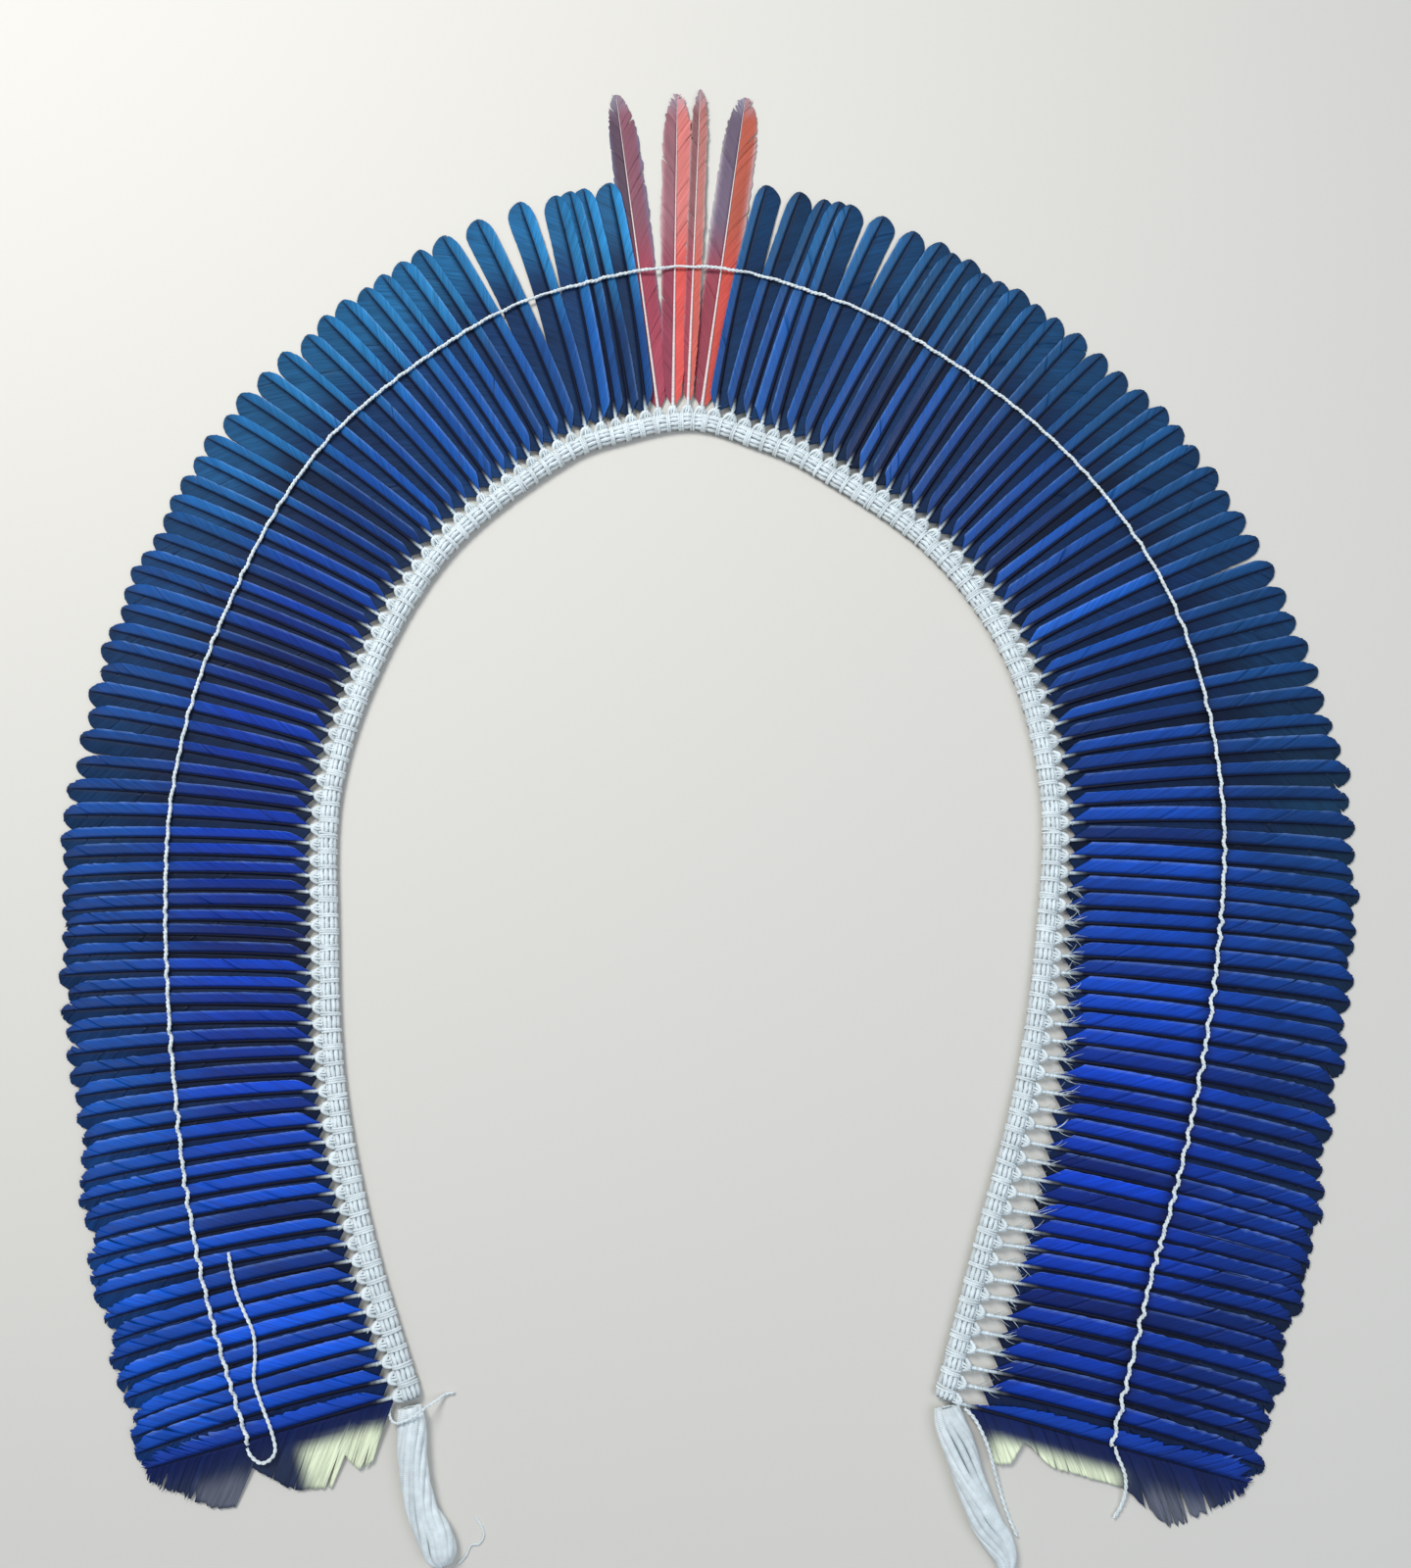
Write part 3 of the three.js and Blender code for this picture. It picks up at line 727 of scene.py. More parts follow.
@dataclass
class Feather:
    """One feather: its place, its size and its colours."""

    plane: Plane
    length: float
    bare: float
    lead_width: float
    trail_width: float
    lead: Grid
    outer: Grid
    trail: Grid
    tip: Grid
    key: int
    stay: float = 0.0
    shape: VaneShape = field(default_factory=VaneShape)
    bow: float = BOW
    shaft: Grid = field(default_factory=lambda: SHAFT_DARK)
    # colour of the crown-side edge: a painted highlight on the blue feathers, the red ones' own pale
    # edge
    pale: Grid = field(default_factory=lambda: EDGE_HIGHLIGHT)
    # how deep the stay cord presses the vane in, and how dark the painted shadow it leaves there
    pinch_and_shadow: float = 0.5
    # strength of the painted highlight along the crown-side edge
    edge_highlight: float = 0.3
    wear: float = 0.3  # 0 for smooth whole vanes and 1 for split and ragged ones

    def bow_at(self, along: Grid) -> Grid:
        """How far the shaft is bowed towards the crown at a distance along it."""
        share = along / self.length
        return 4 * self.bow * share * (1 - share)

    @property
    def vane_start(self) -> float:
        """Distance from the root at which the vane begins."""
        return max(2.2, self.bare - 12.0)

    def outline(self, along: Grid, width: float, lead: bool = True) -> Grid:
        """Half-width of the vane at a distance along the shaft."""
        run = self.shape.flare if lead else self.shape.trail_flare
        run *= 1 + 0.22 * scatter(self.key, 11)
        flare = np.clip((along - self.vane_start) / run, 0, 1)
        flare = np.sin(flare * math.pi / 2) ** (1.15 if lead else 0.8)
        swell = 1 - 0.07 * np.sin(along / self.length * 5.2 + 3 * scatter(self.key, 12))
        past = np.clip((along - (self.length - self.shape.taper)) / self.shape.taper, 0, 1)
        return width * flare * swell * np.sqrt(np.clip(1 - past**2.2, 0, 1))

    def reach(self, base: Grid, width: float, angle: float, lead: bool) -> Grid:
        """How far each barb reaches sideways before it meets the vane's outline."""
        slope = 1 / math.tan(math.radians(angle))
        low, high = np.zeros_like(base), np.full_like(base, width)
        for _ in range(18):
            middle = (low + high) / 2
            inside = middle < self.outline(base + middle * slope, width, lead)
            low, high = np.where(inside, middle, low), np.where(inside, high, middle)
        return low

    def add_vane(self, mesh: Mesher, sense: int, rng: np.random.Generator) -> None:
        """Adds the vane on one side of the shaft.

        Args:
            mesh: takes the faces.
            sense: 1 for the crown side and -1 for the other.
            rng: the feather's own random numbers.
        """
        shape = self.shape
        lead = sense > 0
        width = self.lead_width if lead else self.trail_width
        angle = shape.lead_angle if lead else shape.trail_angle
        columns = shape.lead_columns if lead else shape.trail_columns
        slope = 1 / math.tan(math.radians(angle))
        even = np.linspace(0, 1, shape.rows)
        start = self.vane_start - (0.5 if lead else 1.6)
        base = start + (self.length - 0.6 - start) * (even - 0.07 * np.sin(2 * math.pi * even))
        outside = smooth(base, self.stay - 10, self.stay + 25) if self.stay else base / self.length
        rough = self.wear * (0.25 + 0.75 * outside)
        reach = self.reach(base, width, angle, lead)
        jitter = rng.normal(0, shape.ragged, len(base)) * (0.12 + rough) * (reach > 2)
        reach = np.maximum(reach + jitter, 0.3)
        share = np.array([0, *np.linspace(0, 1, columns)[1:-1] ** 0.9, 0.94, 1])[None, :]
        borders, row = [0], 0
        while row < shape.rows - 1:
            row = min(row + int(rng.integers(*shape.clump)), shape.rows - 1)
            if row == shape.rows - 1 or rng.random() < 0.03 + 0.95 * rough[row]:
                borders.append(row)
        gaps = {
            row: (rng.random() ** 2 * shape.split * 2.8 * (0.2 + rough[row]), rng.uniform(0.3, 0.85))
            for row in borders[1:-1]
        }
        bright = rng.uniform(0.9, 1.1)
        for first, last in zip(borders[:-1], borders[1:]):
            rows = slice(first, last + 1)
            side = reach[rows, None] * share
            along = base[rows, None] + side * slope * (1 - 0.12 * share)
            for row, edge in ((first, 0), (last, -1)):
                if row in gaps:
                    wide, begin = gaps[row]
                    open_by = wide / 2 * np.clip((share[0] - begin) / (1 - begin), 0, 1)
                    along[edge] += open_by if edge == 0 else -open_by
            loose = rough[first : last + 1].mean()
            lifted = rng.normal(0, 0.03 + 0.2 * loose) * share**2
            tone = bright * (1 + rng.normal(0, 0.01 + 0.1 * loose))
            self._add_clump(mesh, sense, along, side, share, lifted, tone)

    def _add_clump(
        self, mesh: Mesher, sense: int, along: Grid, side: Grid, share: Grid, lifted: Grid, tone: float
    ) -> None:
        """Adds one clump of barbs.

        Args:
            mesh: takes the faces.
            sense: 1 for the crown side and -1 for the other.
            along: distance from the root of its points, barbs by columns.
            side: their distance from the shaft.
            share: that distance as a share of each barb's reach.
            lifted: how far the clump stands off the plane.
            tone: how bright it is.
        """
        lead = sense > 0
        width = self.lead_width if lead else self.trail_width
        spread = side / width
        crown = self.bow_at(along) + sense * side
        camber = -0.85 * spread**3 if lead else -0.15 + 0.3 * np.sin(spread * 2.4)
        camber = camber + 0.18 * np.sin(along / 19 + self.key) * spread
        groove = np.exp(-(((along - self.stay) / 4.5) ** 2)) * self.pinch_and_shadow if self.stay else 0.0
        lift = 0.12 + camber + lifted - groove * (0.6 + 0.6 * spread)
        top = self.plane.place(along, crown, lift)
        thin = self.shape.thick * (1 - 0.5 * spread)
        drop = self.plane.place(along, crown, lift - thin) - top
        colours = self._colours(lead, along, side, spread) * tone
        grain = np.empty(top.shape)
        angle = self.shape.lead_angle if lead else self.shape.trail_angle
        grain[..., 0] = along - side / math.tan(math.radians(angle))
        grain[..., 1] = side * (1 if lead else -1)
        grain[..., 2] = self.key * 3.7
        if sense * self.plane.side > 0:
            top, drop, colours, grain = (a[::-1] for a in (top, drop, colours, grain))
        # painted shade: the lower face gets the upper face's colours at 0.55
        mesh.shell(top, drop, colours, grain, colours * 0.55)

    def _colours(self, lead: bool, along: Grid, side: Grid, spread: Grid) -> Grid:
        """Linear colours of a vane.

        Args:
            lead: whether it is the crown-side vane.
            along: distance from the root of its points.
            side: their distance from the shaft.
            spread: that distance as a share of the vane's width.

        Returns:
            A colour for each point.
        """
        share = np.clip(along / self.length, 0, 1)[..., None]
        if lead:
            mix = smooth(share, 0.35, 0.8)
            # painted shade: the crown-side vane darkens towards the shaft and brightens towards its
            # edge
            colour = mixed(self.lead, self.outer, mix) * (0.7 + 0.42 * spread[..., None])
            # painted highlight: a pale line along the crown-side edge, and along the flaring edge by
            # the foot
            foot = 1 - smooth(along, self.vane_start + 14, self.vane_start + 26)
            rim = smooth(side / self.lead_width, 0.88, 0.99) * self.edge_highlight
            edge = np.zeros_like(side)
            edge[:, -1] = 1.0
            rim = np.maximum(rim, foot * edge * 0.6)[..., None]
            colour = mixed(colour, self.pale, rim)
            # darker by the shaft: the shaft's own dark colour, spread wider over the vane as painted
            # shade
            shaft_and_shade = (1 - smooth(side, 0.2, 1.6))[..., None] * 0.6
        else:
            colour = mixed(self.trail, self.tip, smooth(share, 0.62, 0.85))
            shaft_and_shade = (1 - smooth(side, 0.2, 2.2))[..., None] * 0.7
        colour = mixed(colour, self.shaft, shaft_and_shade)
        end = smooth(along, self.length - 12, self.length)[..., None] * 0.45
        colour = mixed(colour, self.tip * 0.7, end)
        if self.stay:
            # painted shadow: the vane darkens where the stay cord presses it down
            cord_shadow = np.exp(-(((along - self.stay) / 5.0) ** 2))[..., None] * self.pinch_and_shadow
            colour = colour * (1 - 0.75 * np.clip(cord_shadow, 0, 0.9))
        return colour

    def add_shaft(self, mesh: Mesher) -> None:
        """Adds the quill and the shaft, pale where it is bare and dyed in the vane."""
        quill = np.linspace(1.5, self.bare + 12, 6)
        shaft = np.linspace(self.bare + 20, self.length - 3, 12)
        at = np.concatenate([[QUILL_START], quill, shaft])
        share = at / self.length
        radius = np.interp(share, [0, 0.1, 0.35, 0.7, 1], [1.25, 1.1, 0.75, 0.42, 0.16])
        line = self.plane.place(at, self.bow_at(at), 0.12 + 0.35 * radius)
        dyed = smooth(at, self.vane_start - 1, self.vane_start + 12)[:, None]
        mesh.strand(line, radius, mixed(QUILL_WHITE, self.shaft, dyed), 6, self.key)

    def add_down(self, mesh: Mesher, rng: np.random.Generator) -> None:
        """Adds the pale wisps of down at the foot of the vane."""
        long = self.bare > 14
        for _ in range(7 if long else 2):
            sense = 1 if rng.random() < 0.6 else -1
            start = rng.uniform(3.0, self.vane_start + 8 if long else 5.0)
            reach = rng.uniform(4, 11) if long else rng.uniform(1.2, 3.2)
            bend = rng.uniform(-0.6, 1.2)
            t = np.linspace(0, 1, 6)
            along = start + reach * (0.85 * t + bend * t * t * 0.4)
            crown = self.bow_at(along) + sense * (0.6 + reach * (0.6 * t - 0.4 * bend * t * t))
            line = self.plane.place(along, crown, 0.5 + 1.1 * np.sin(t * 2.6))
            shade = QUILL_WHITE * rng.uniform(0.5, 1.0)
            mesh.strand(line, 0.26 * (1 - 0.8 * t) + 0.03, shade, 4, self.key)

    def build(self, mesh: Mesher) -> None:
        """Adds the whole feather to a mesh."""
        rng = np.random.default_rng(1000 + self.key)
        self.add_vane(mesh, 1, rng)
        self.add_vane(mesh, -1, rng)
        self.add_shaft(mesh)
        self.add_down(mesh, rng)


def feather_key(arm: Arm, index: int) -> int:
    """A number of its own for each of the arms' feathers, which seeds what is random in it."""
    return index + (100 if arm.side > 0 else 0)


def arm_plane(arm: Arm, index: int, lift: float = 0.0, tilt: float = TILT) -> Plane:
    """The plane of one of an arm's feathers.

    Args:
        arm: the arm.
        index: the feather's number, counted from the crown.
        lift: how much higher than its neighbours it lies.
        tilt: rise per mm towards the crown.

    Returns:
        The plane.
    """
    at = arm.first + index * arm.pitch
    lean = arm.value(at, "lean") + LEAN_SPREAD * scatter(feather_key(arm, index), 1)
    way = turned(ROUTE.outward(arm.side * at), math.radians(lean) * -arm.side)
    root = ROUTE.point(arm.side * at, ROOT_OFFSET)[:2]
    return Plane(root, way, arm.side, ROOT_HEIGHT + lift, FALL, tilt)


class ArmFeathers:
    """The blue feathers of one arm, a mesh for every five."""

    def __init__(self, arm: Arm, material: bpy.types.Material) -> None:
        """Keeps the arm and the feathers' material."""
        self.arm = arm
        self.material = material

    def feather(self, index: int) -> Feather:
        """One feather of the arm, counted from the crown."""
        arm = self.arm
        at = arm.first + index * arm.pitch
        key = feather_key(arm, index)
        spread = CROWN_SPREAD + (END_SPREAD - CROWN_SPREAD) * index / (FEATHERS_PER_ARM - 1)
        bright = (1 + 0.34 * scatter(key, 5)) * (0.55 if scatter(key, 8) > 0.6 else 1.0)
        low = arm.side > 0 and at > 380
        width = float(np.interp(at, [0, 300, 600, 800], [7.4, 7.8, 8.4, 8.8])) + 1.4 * low
        return Feather(
            plane=arm_plane(arm, index),
            length=arm.value(at, "reach") - ROOT_OFFSET + spread * scatter(key, 2),
            bare=arm.value(at, "bare"),
            lead_width=width + 1.1 * scatter(key, 3),
            trail_width=float(np.interp(at, [60, 140, 220, 400], [13, 15, 13, 11]))
            + 0.6 * scatter(key, 4),
            lead=arm.colour(at, "lead") * bright * DYE,
            outer=arm.colour(at, "outer") * (1 + 0.2 * scatter(key, 6)) * DYE,
            trail=arm.colour(at, "trail") * bright * DYE,
            tip=arm.colour(at, "tip") * (1 + 0.2 * scatter(key, 7)) * DYE,
            key=key,
            stay=arm.value(at, "stay") - ROOT_OFFSET,
            pinch_and_shadow=0.25 if arm.side < 0 else float(np.interp(at, [200, 420], [0.3, 0.8])),
            wear=float(np.interp(at, [0, 350, 600, 800], [0.08, 0.2, 0.6, 1.0])),
        )

    def build(self) -> None:
        """Makes the meshes."""
        for group in range((FEATHERS_PER_ARM - 1) // FEATHERS_PER_GROUP):
            mesh = Mesher()
            for i in range(FEATHERS_PER_GROUP):
                self.feather(group * FEATHERS_PER_GROUP + i).build(mesh)
            name = f"plumage_{self.arm.name}_{group + 1}"
            node = f"blue_feathers_{self.arm.name}_{group + 1}"
            finish_piece(mesh.build(name, self.material), Slot.BLUE, node)


@dataclass(frozen=True)
class CrownRow:
    """A red feather at the crown: its place, its widths and its colours."""

    at: float
    length: float
    heading: float
    left: float
    right: float
    level: int
    left_colour: str
    right_colour: str
    left_foot: str
    right_foot: str
    edge: str


CROWN_ROWS = (
    CrownRow(-23, 262, 97.5, 10, 13, 0, "#5C4656", "#8E5A68", "#8C3A4C", "#A8485A", "#7A86A8"),
    CrownRow(-13, 258, 89.5, 11, 12, 1, "#95636C", "#D87C76", "#8E3E50", "#E05A54", "#DDB2B4"),
    CrownRow(-3, 261, 88, 6, 7, 2, "#8A5A5C", "#C47C74", "#9E4250", "#DC6A5E", "#CDB4B2"),
    CrownRow(6, 258, 82.5, 13, 14, 0, "#6E5E72", "#B45A48", "#96404E", "#CC5248", "#D0C6CA"),
)


class CrownFeathers:
    """The long red feathers at the crown."""

    HEIGHT = 1.6
    TIP_HEIGHT = 0.7
    LEVEL = 0.95

    def __init__(self, material: bpy.types.Material) -> None:
        """Keeps the pieces' material."""
        self.material = material

    def build(self) -> None:
        """Makes the meshes."""
        shape = VaneShape(
            rows=110, lead_columns=6, trail_columns=6, lead_angle=30, trail_angle=30,
            flare=120, taper=46, clump=(3, 8), split=1.6, ragged=0.7,
        )  # fmt: skip
        for i, row in enumerate(CROWN_ROWS):
            angle = math.radians(row.heading)
            plane = Plane(
                ROUTE.point(row.at, ROOT_OFFSET)[:2],
                np.array([math.cos(angle), math.sin(angle)]),
                1,
                self.HEIGHT + row.level * self.LEVEL,
                (self.HEIGHT - self.TIP_HEIGHT) / row.length,
                0.0,
            )
            feather = RedFeather(
                plane=plane,
                length=row.length,
                bare=5,
                lead_width=row.left,
                trail_width=row.right,
                lead=linear(row.left_foot),
                outer=linear(row.left_colour),
                trail=linear(row.right_foot),
                tip=linear(row.right_colour),
                key=300 + i,
                shape=shape,
                wear=0.55,
                bow=0.0,
                shaft=linear("#E8D8D4"),
                pale=linear(row.edge),
                pinch_and_shadow=0.0,
            )
            mesh = Mesher()
            feather.build(mesh)
            made = mesh.build(f"red_plume_{i + 1}", self.material)
            finish_piece(made, Slot.RED, f"crown_feather_{i + 1}")


TIP_GREY = linear("#A9A6B4")
DOWN_DARK = linear("#2A3450")
DOWN_CREAM = linear("#EAF2CE")
DOWN_GREY = linear("#6A6E7A")


@dataclass
class RedFeather(Feather):
    """A long feather whose vane widens slowly, with a pale ragged edge."""

    def outline(self, along: Grid, width: float, lead: bool = True) -> Grid:
        """Half-width of the vane at a distance along the shaft."""
        share = along / self.length
        body = np.interp(share, [0.015, 0.05, 0.25, 0.42, 0.6, 0.8], [0, 0.5, 0.85, 0.9, 1, 0.97])
        past = np.clip((along - (self.length - self.shape.taper)) / self.shape.taper, 0, 1)
        return width * body * np.sqrt(np.clip(1 - past**2, 0, 1))

    def _colours(self, lead: bool, along: Grid, side: Grid, spread: Grid) -> Grid:
        """Linear colours of a vane: deeper at its foot, pale at its rim and grey at its tip."""
        share = np.clip(along / self.length, 0, 1)[..., None]
        foot, top = (self.lead, self.outer) if lead else (self.trail, self.tip)
        colour = mixed(foot, top, smooth(share, 0.4, 0.62))
        colour = mixed(colour, self.pale, smooth(spread, 0.72, 1.0)[..., None] * 0.6)
        end = smooth(along, self.length - 22, self.length)[..., None] * 0.55
        return mixed(colour, TIP_GREY, end)


@dataclass
class EndFeather(Feather):
    """The feather at an arm's end, with its whole downy lower vane showing."""

    rows: tuple[tuple[float, float, float], ...] = ()  # distance along, crown and lower half-width
    cream: tuple[float, float] = (13.0, 60.0)  # from and to, along the feather
    fluff: tuple[float, float] = (104.0, 134.0)
    _sense: int = 1  # side of the vane that is being made

    def outline(self, along: Grid, width: float, lead: bool = True) -> Grid:
        """Half-width of the vane at a distance along the shaft."""
        at = [r[0] for r in self.rows] + [self.length + 3]
        wide = [r[1 if self._sense > 0 else 2] for r in self.rows] + [0.0]
        return np.interp(along, at, wide, left=0.0)

    def add_vane(self, mesh: Mesher, sense: int, rng: np.random.Generator) -> None:
        """Adds the vane on one side of the shaft."""
        self._sense = sense
        super().add_vane(mesh, sense, rng)

    def _colours(self, lead: bool, along: Grid, side: Grid, spread: Grid) -> Grid:
        """Linear colours of a vane, the lower one dark by the shaft, then cream or grey down."""
        if lead:
            return super()._colours(lead, along, side, spread)
        colour = mixed(self.trail, DOWN_DARK, smooth(side, 2, 22)[..., None])
        first, last = self.cream
        cream = smooth(along, first - 6, first + 8) * (1 - smooth(along, last, last + 14))
        colour = mixed(colour, DOWN_CREAM, (cream * smooth(side, 9, 20))[..., None])
        first, last = self.fluff
        grey = smooth(along, first, first + 8) * (1 - smooth(along, last, last + 8))
        return mixed(colour, DOWN_GREY, (grey * smooth(side, 12, 26))[..., None] * 0.8)


END_ROWS = {
    "left": (
        (7, 1.2, 2), (22, 8, 34), (38, 9, 37), (45, 9, 20), (52, 9, 44), (80, 9, 38),
        (102, 10, 16), (112, 10, 39), (130, 10, 35), (152, 9, 18), (164, 5, 8),
    ),
    "right": (
        (9, 1.2, 2), (34, 6, 30), (44, 8, 28), (48, 8, 12), (70, 9, 23), (115, 10, 23),
        (150, 10, 38), (166, 12, 27), (180, 14, 15), (190, 9, 4),
    ),
}  # fmt: skip


class EndFeathers:
    """The feather at each arm's end."""

    LIFT = 0.8
    TILT = 0.06

    def __init__(self, material: bpy.types.Material) -> None:
        """Keeps the pieces' material."""
        self.material = material

    def build(self) -> None:
        """Makes the meshes."""
        shape = VaneShape(
            rows=120, lead_columns=4, trail_columns=14, trail_angle=52, clump=(2, 6),
            split=1.8, ragged=1.0,
        )  # fmt: skip
        for arm in (LEFT_ARM, RIGHT_ARM):
            rows = END_ROWS[arm.name]
            left = arm.side < 0
            feather = EndFeather(
                plane=arm_plane(arm, FEATHERS_PER_ARM - 1, self.LIFT, self.TILT),
                length=rows[-1][0],
                bare=4,
                lead_width=max(r[1] for r in rows),
                trail_width=max(r[2] for r in rows),
                lead=linear("#0A46B8"),
                outer=linear("#0C3EA6"),
                trail=linear("#0A1C50"),
                tip=linear("#0C2056"),
                key=401 if left else 402,
                shape=shape,
                bow=0.0,
                wear=0.8,
                pinch_and_shadow=0.3,
                stay=arm.value(arm.last, "stay") - ROOT_OFFSET,
                rows=rows,
                cream=(13, 60) if left else (26, 104),
                fluff=(100, 132) if left else (126, 168),
            )
            mesh = Mesher()
            feather.build(mesh)
            made = mesh.build(f"end_plume_{arm.name}", self.material)
            finish_piece(made, Slot.END, f"end_feather_{arm.name}")


# ---------------------------------------------------------------- cotton

COTTON_LIGHT = linear("#F2FBFC")
# painted shade: the dark grey of the cores seen between the band's and the ties' strands
COTTON_SHADE = linear("#AEBFC6")


@dataclass(frozen=True)
class BandSize:
    """Sizes of the bound band, across its centre line, in millimetres."""

    inner: float = -8.5
    outer: float = 3.5
    height: float = 8.0
    wrap_radius: float = 0.8
    strand_radius: float = 1.35
    strands: int = 5
    wrap_pitch: float = 1.45  # between turns of string
    knot_outer: float = 8.5


class Band:
    """The bound core: lengthwise strands held by turns of string, a bundle for each feather."""

    def __init__(self, material: bpy.types.Material, size: BandSize = BandSize()) -> None:
        """Keeps the piece's material and the band's sizes."""
        self.material = material
        self.size = size

    def dome(self, share: Grid, grow: Grid | float = 0.0) -> tuple[Grid, Grid]:
        """The band's rounded section.

        Args:
            share: 0 at its inner foot and 1 at its outer one.
            grow: how far outside the section the points lie.

        Returns:
            Across and up of each point.
        """
        size = self.size
        middle, half = (size.inner + size.outer) / 2, (size.outer - size.inner) / 2
        angle = math.pi * (1 - share)
        across = middle + (half + grow) * np.cos(angle)
        up = 0.35 * size.height + (0.65 * size.height + grow) * np.sin(angle)
        return across, up

    def stations(self) -> list[float]:
        """Where each bundle of the band starts, from the left end to the right end."""
        left = [-(LEFT_ARM.first + (i - 0.5) * LEFT_ARM.pitch) for i in range(FEATHERS_PER_ARM + 1)]
        right = [RIGHT_ARM.first + (i - 0.5) * RIGHT_ARM.pitch for i in range(FEATHERS_PER_ARM + 1)]
        crown = np.linspace(left[0], right[0], 5)[1:-1]
        return [*left[::-1], *crown, *right]

    def build(self) -> None:
        """Makes the band's mesh."""
        size, mesh = self.size, Mesher()
        rng = np.random.default_rng(7)
        starts = [s for s in self.stations() if ROUTE.first + 2 < s < ROUTE.last - 2]
        marks = np.array([ROUTE.first, *starts, ROUTE.last])
        self._add_shade_core(mesh)
        for k in range(size.strands):
            self._add_strand(mesh, marks, (k + 0.7) / (size.strands + 0.4), k, rng)
        for at in starts:
            turns = int(rng.integers(2, 4))
            for turn in range(turns):
                self._add_wrap(mesh, at + (turn - (turns - 1) / 2) * size.wrap_pitch, rng)
        finish_piece(mesh.build("bound_band", self.material), Slot.COTTON, "band_core")

    def _add_shade_core(self, mesh: Mesher) -> None:
        """Adds a dark core under the strands, painted shade that shows in the gaps between them."""
        at = np.linspace(ROUTE.first, ROUTE.last, 500)
        across, up = self.dome(np.linspace(0, 1, 9), -0.9)
        across = np.append(across, across[-1] - 1)
        up = np.append(np.maximum(up, 0.6), 0.2)
        rings = ROUTE.point(at[:, None], across[None, :], up[None, :])
        grain = np.zeros(rings.shape)
        grain[..., 0] = at[:, None]
        mesh.tube(rings[:, ::-1], COTTON_SHADE * 0.6, grain)

    def _add_strand(
        self, mesh: Mesher, marks: Grid, share: float, number: int, rng: np.random.Generator
    ) -> None:
        """Adds a lengthwise strand, which dips at each bundle's edge.

        Args:
            mesh: takes the faces.
            marks: where the bundles meet, along the band.
            share: its place on the section.
            number: its number.
            rng: the band's random numbers.
        """
        steps = np.linspace(0, 1, 7)[:-1]
        spans = np.diff(marks)[:, None] * steps
        at = np.append((marks[:-1, None] + spans).ravel(), marks[-1])
        dip = np.append(np.tile(1 - np.sin(math.pi * steps) ** 0.6, len(marks) - 1), 1.0)
        wander = share + rng.normal(0, 0.012, len(at))
        across, up = self.dome(wander, -0.5 - 1.1 * dip)
        radius = self.size.strand_radius * (1.1 - 0.45 * dip)
        line = ROUTE.point(at, across, up)
        grey = 1 - 0.2 * (share < 0.3)
        # painted shade: each strand darkens where it dips under the turns at a bundle's edge
        tone = (grey * (1 - 0.6 * dip))[:, None]
        mesh.strand(line, radius, COTTON_LIGHT * tone, 6, number)

    def _add_wrap(self, mesh: Mesher, at: float, rng: np.random.Generator) -> None:
        """Adds a turn of string over the strands, at a distance from the crown."""
        share = np.linspace(-0.06, 1.06, 10)
        across, up = self.dome(share, 0.15)
        slant = rng.normal(0.4, 0.6)
        line = ROUTE.point(at + slant * (share - 0.5), across, np.maximum(up, 0.75))
        tone = COTTON_LIGHT * rng.uniform(0.86, 1.0)
        mesh.strand(line, self.size.wrap_radius * rng.uniform(0.9, 1.1), tone, 6, at)


class KnotRow:
    """The row of petal-shaped knots that ties the quills to the band."""

    CROWN_PITCH = 8.5  # between the red feathers

    def __init__(self, material: bpy.types.Material, size: BandSize = BandSize()) -> None:
        """Keeps the piece's material and the band's sizes."""
        self.material = material
        self.size = size

    def build(self) -> None:
        """Makes the knots' mesh."""
        mesh = Mesher()
        rng = np.random.default_rng(11)
        for arm in (LEFT_ARM, RIGHT_ARM):
            for i in range(FEATHERS_PER_ARM):
                self._add_knot(mesh, arm.side * (arm.first + i * arm.pitch), arm.pitch, rng)
        for row in CROWN_ROWS:
            self._add_knot(mesh, row.at, self.CROWN_PITCH, rng)
        finish_piece(mesh.build("quill_knots", self.material), Slot.COTTON)

    def _add_knot(self, mesh: Mesher, at: float, pitch: float, rng: np.random.Generator) -> None:
        """Adds a knot of three loops and two short turns over them.

        Args:
            mesh: takes the faces.
            at: its distance from the crown.
            pitch: the room that it has along the band.
            rng: the row's random numbers.
        """
        size = self.size
        t = np.linspace(0, 1, 8)
        for turn in range(3):
            lean = (turn - 1) * 0.9 + rng.normal(0, 0.2)
            bulge = size.knot_outer - size.outer - 0.4
            across = size.outer - 0.6 + bulge * np.sin(math.pi * t) ** 0.8
            along = at + (t - 0.5) * pitch * (0.78 - 0.1 * turn) + lean
            up = 2.2 + 3.2 * np.sin(math.pi * t) ** 0.7 - 0.8 * turn + 0.8
            line = ROUTE.point(along, across, up)
            radius = 1.6 * (0.5 + 0.5 * np.sin(math.pi * t))
            mesh.strand(line, radius, COTTON_LIGHT * rng.uniform(0.84, 1.0), 6, at + turn)
        across = np.linspace(size.outer - 1.5, size.knot_outer + 0.2, 6)
        up = 5.2 + 1.1 * np.sin(np.linspace(0.3, 2.6, 6))
        for step in (-0.9, 0.9):
            line = ROUTE.point(np.full(6, at + step) + np.linspace(-0.8, 0.8, 6), across, up)
            mesh.strand(line, 0.7, COTTON_LIGHT * rng.uniform(0.85, 1.0), 6, at)


def twisted(
    line: Grid, plies: int, offset: float, pitch: float
) -> Iterator[Grid]:
    """Centre lines of a cord's plies.

    Args:
        line: the cord's own centre line.
        plies: how many there are.
        offset: distance of a ply from the cord's centre.
        pitch: length of one turn.

    Yields:
        A centre line for each ply.
    """
    level, upright = sides_of(line)
    for ply in range(plies):
        angle = (run_of(line) / pitch + ply / plies) * 2 * math.pi
        yield line + offset * (level * np.cos(angle)[:, None] + upright * np.sin(angle)[:, None])


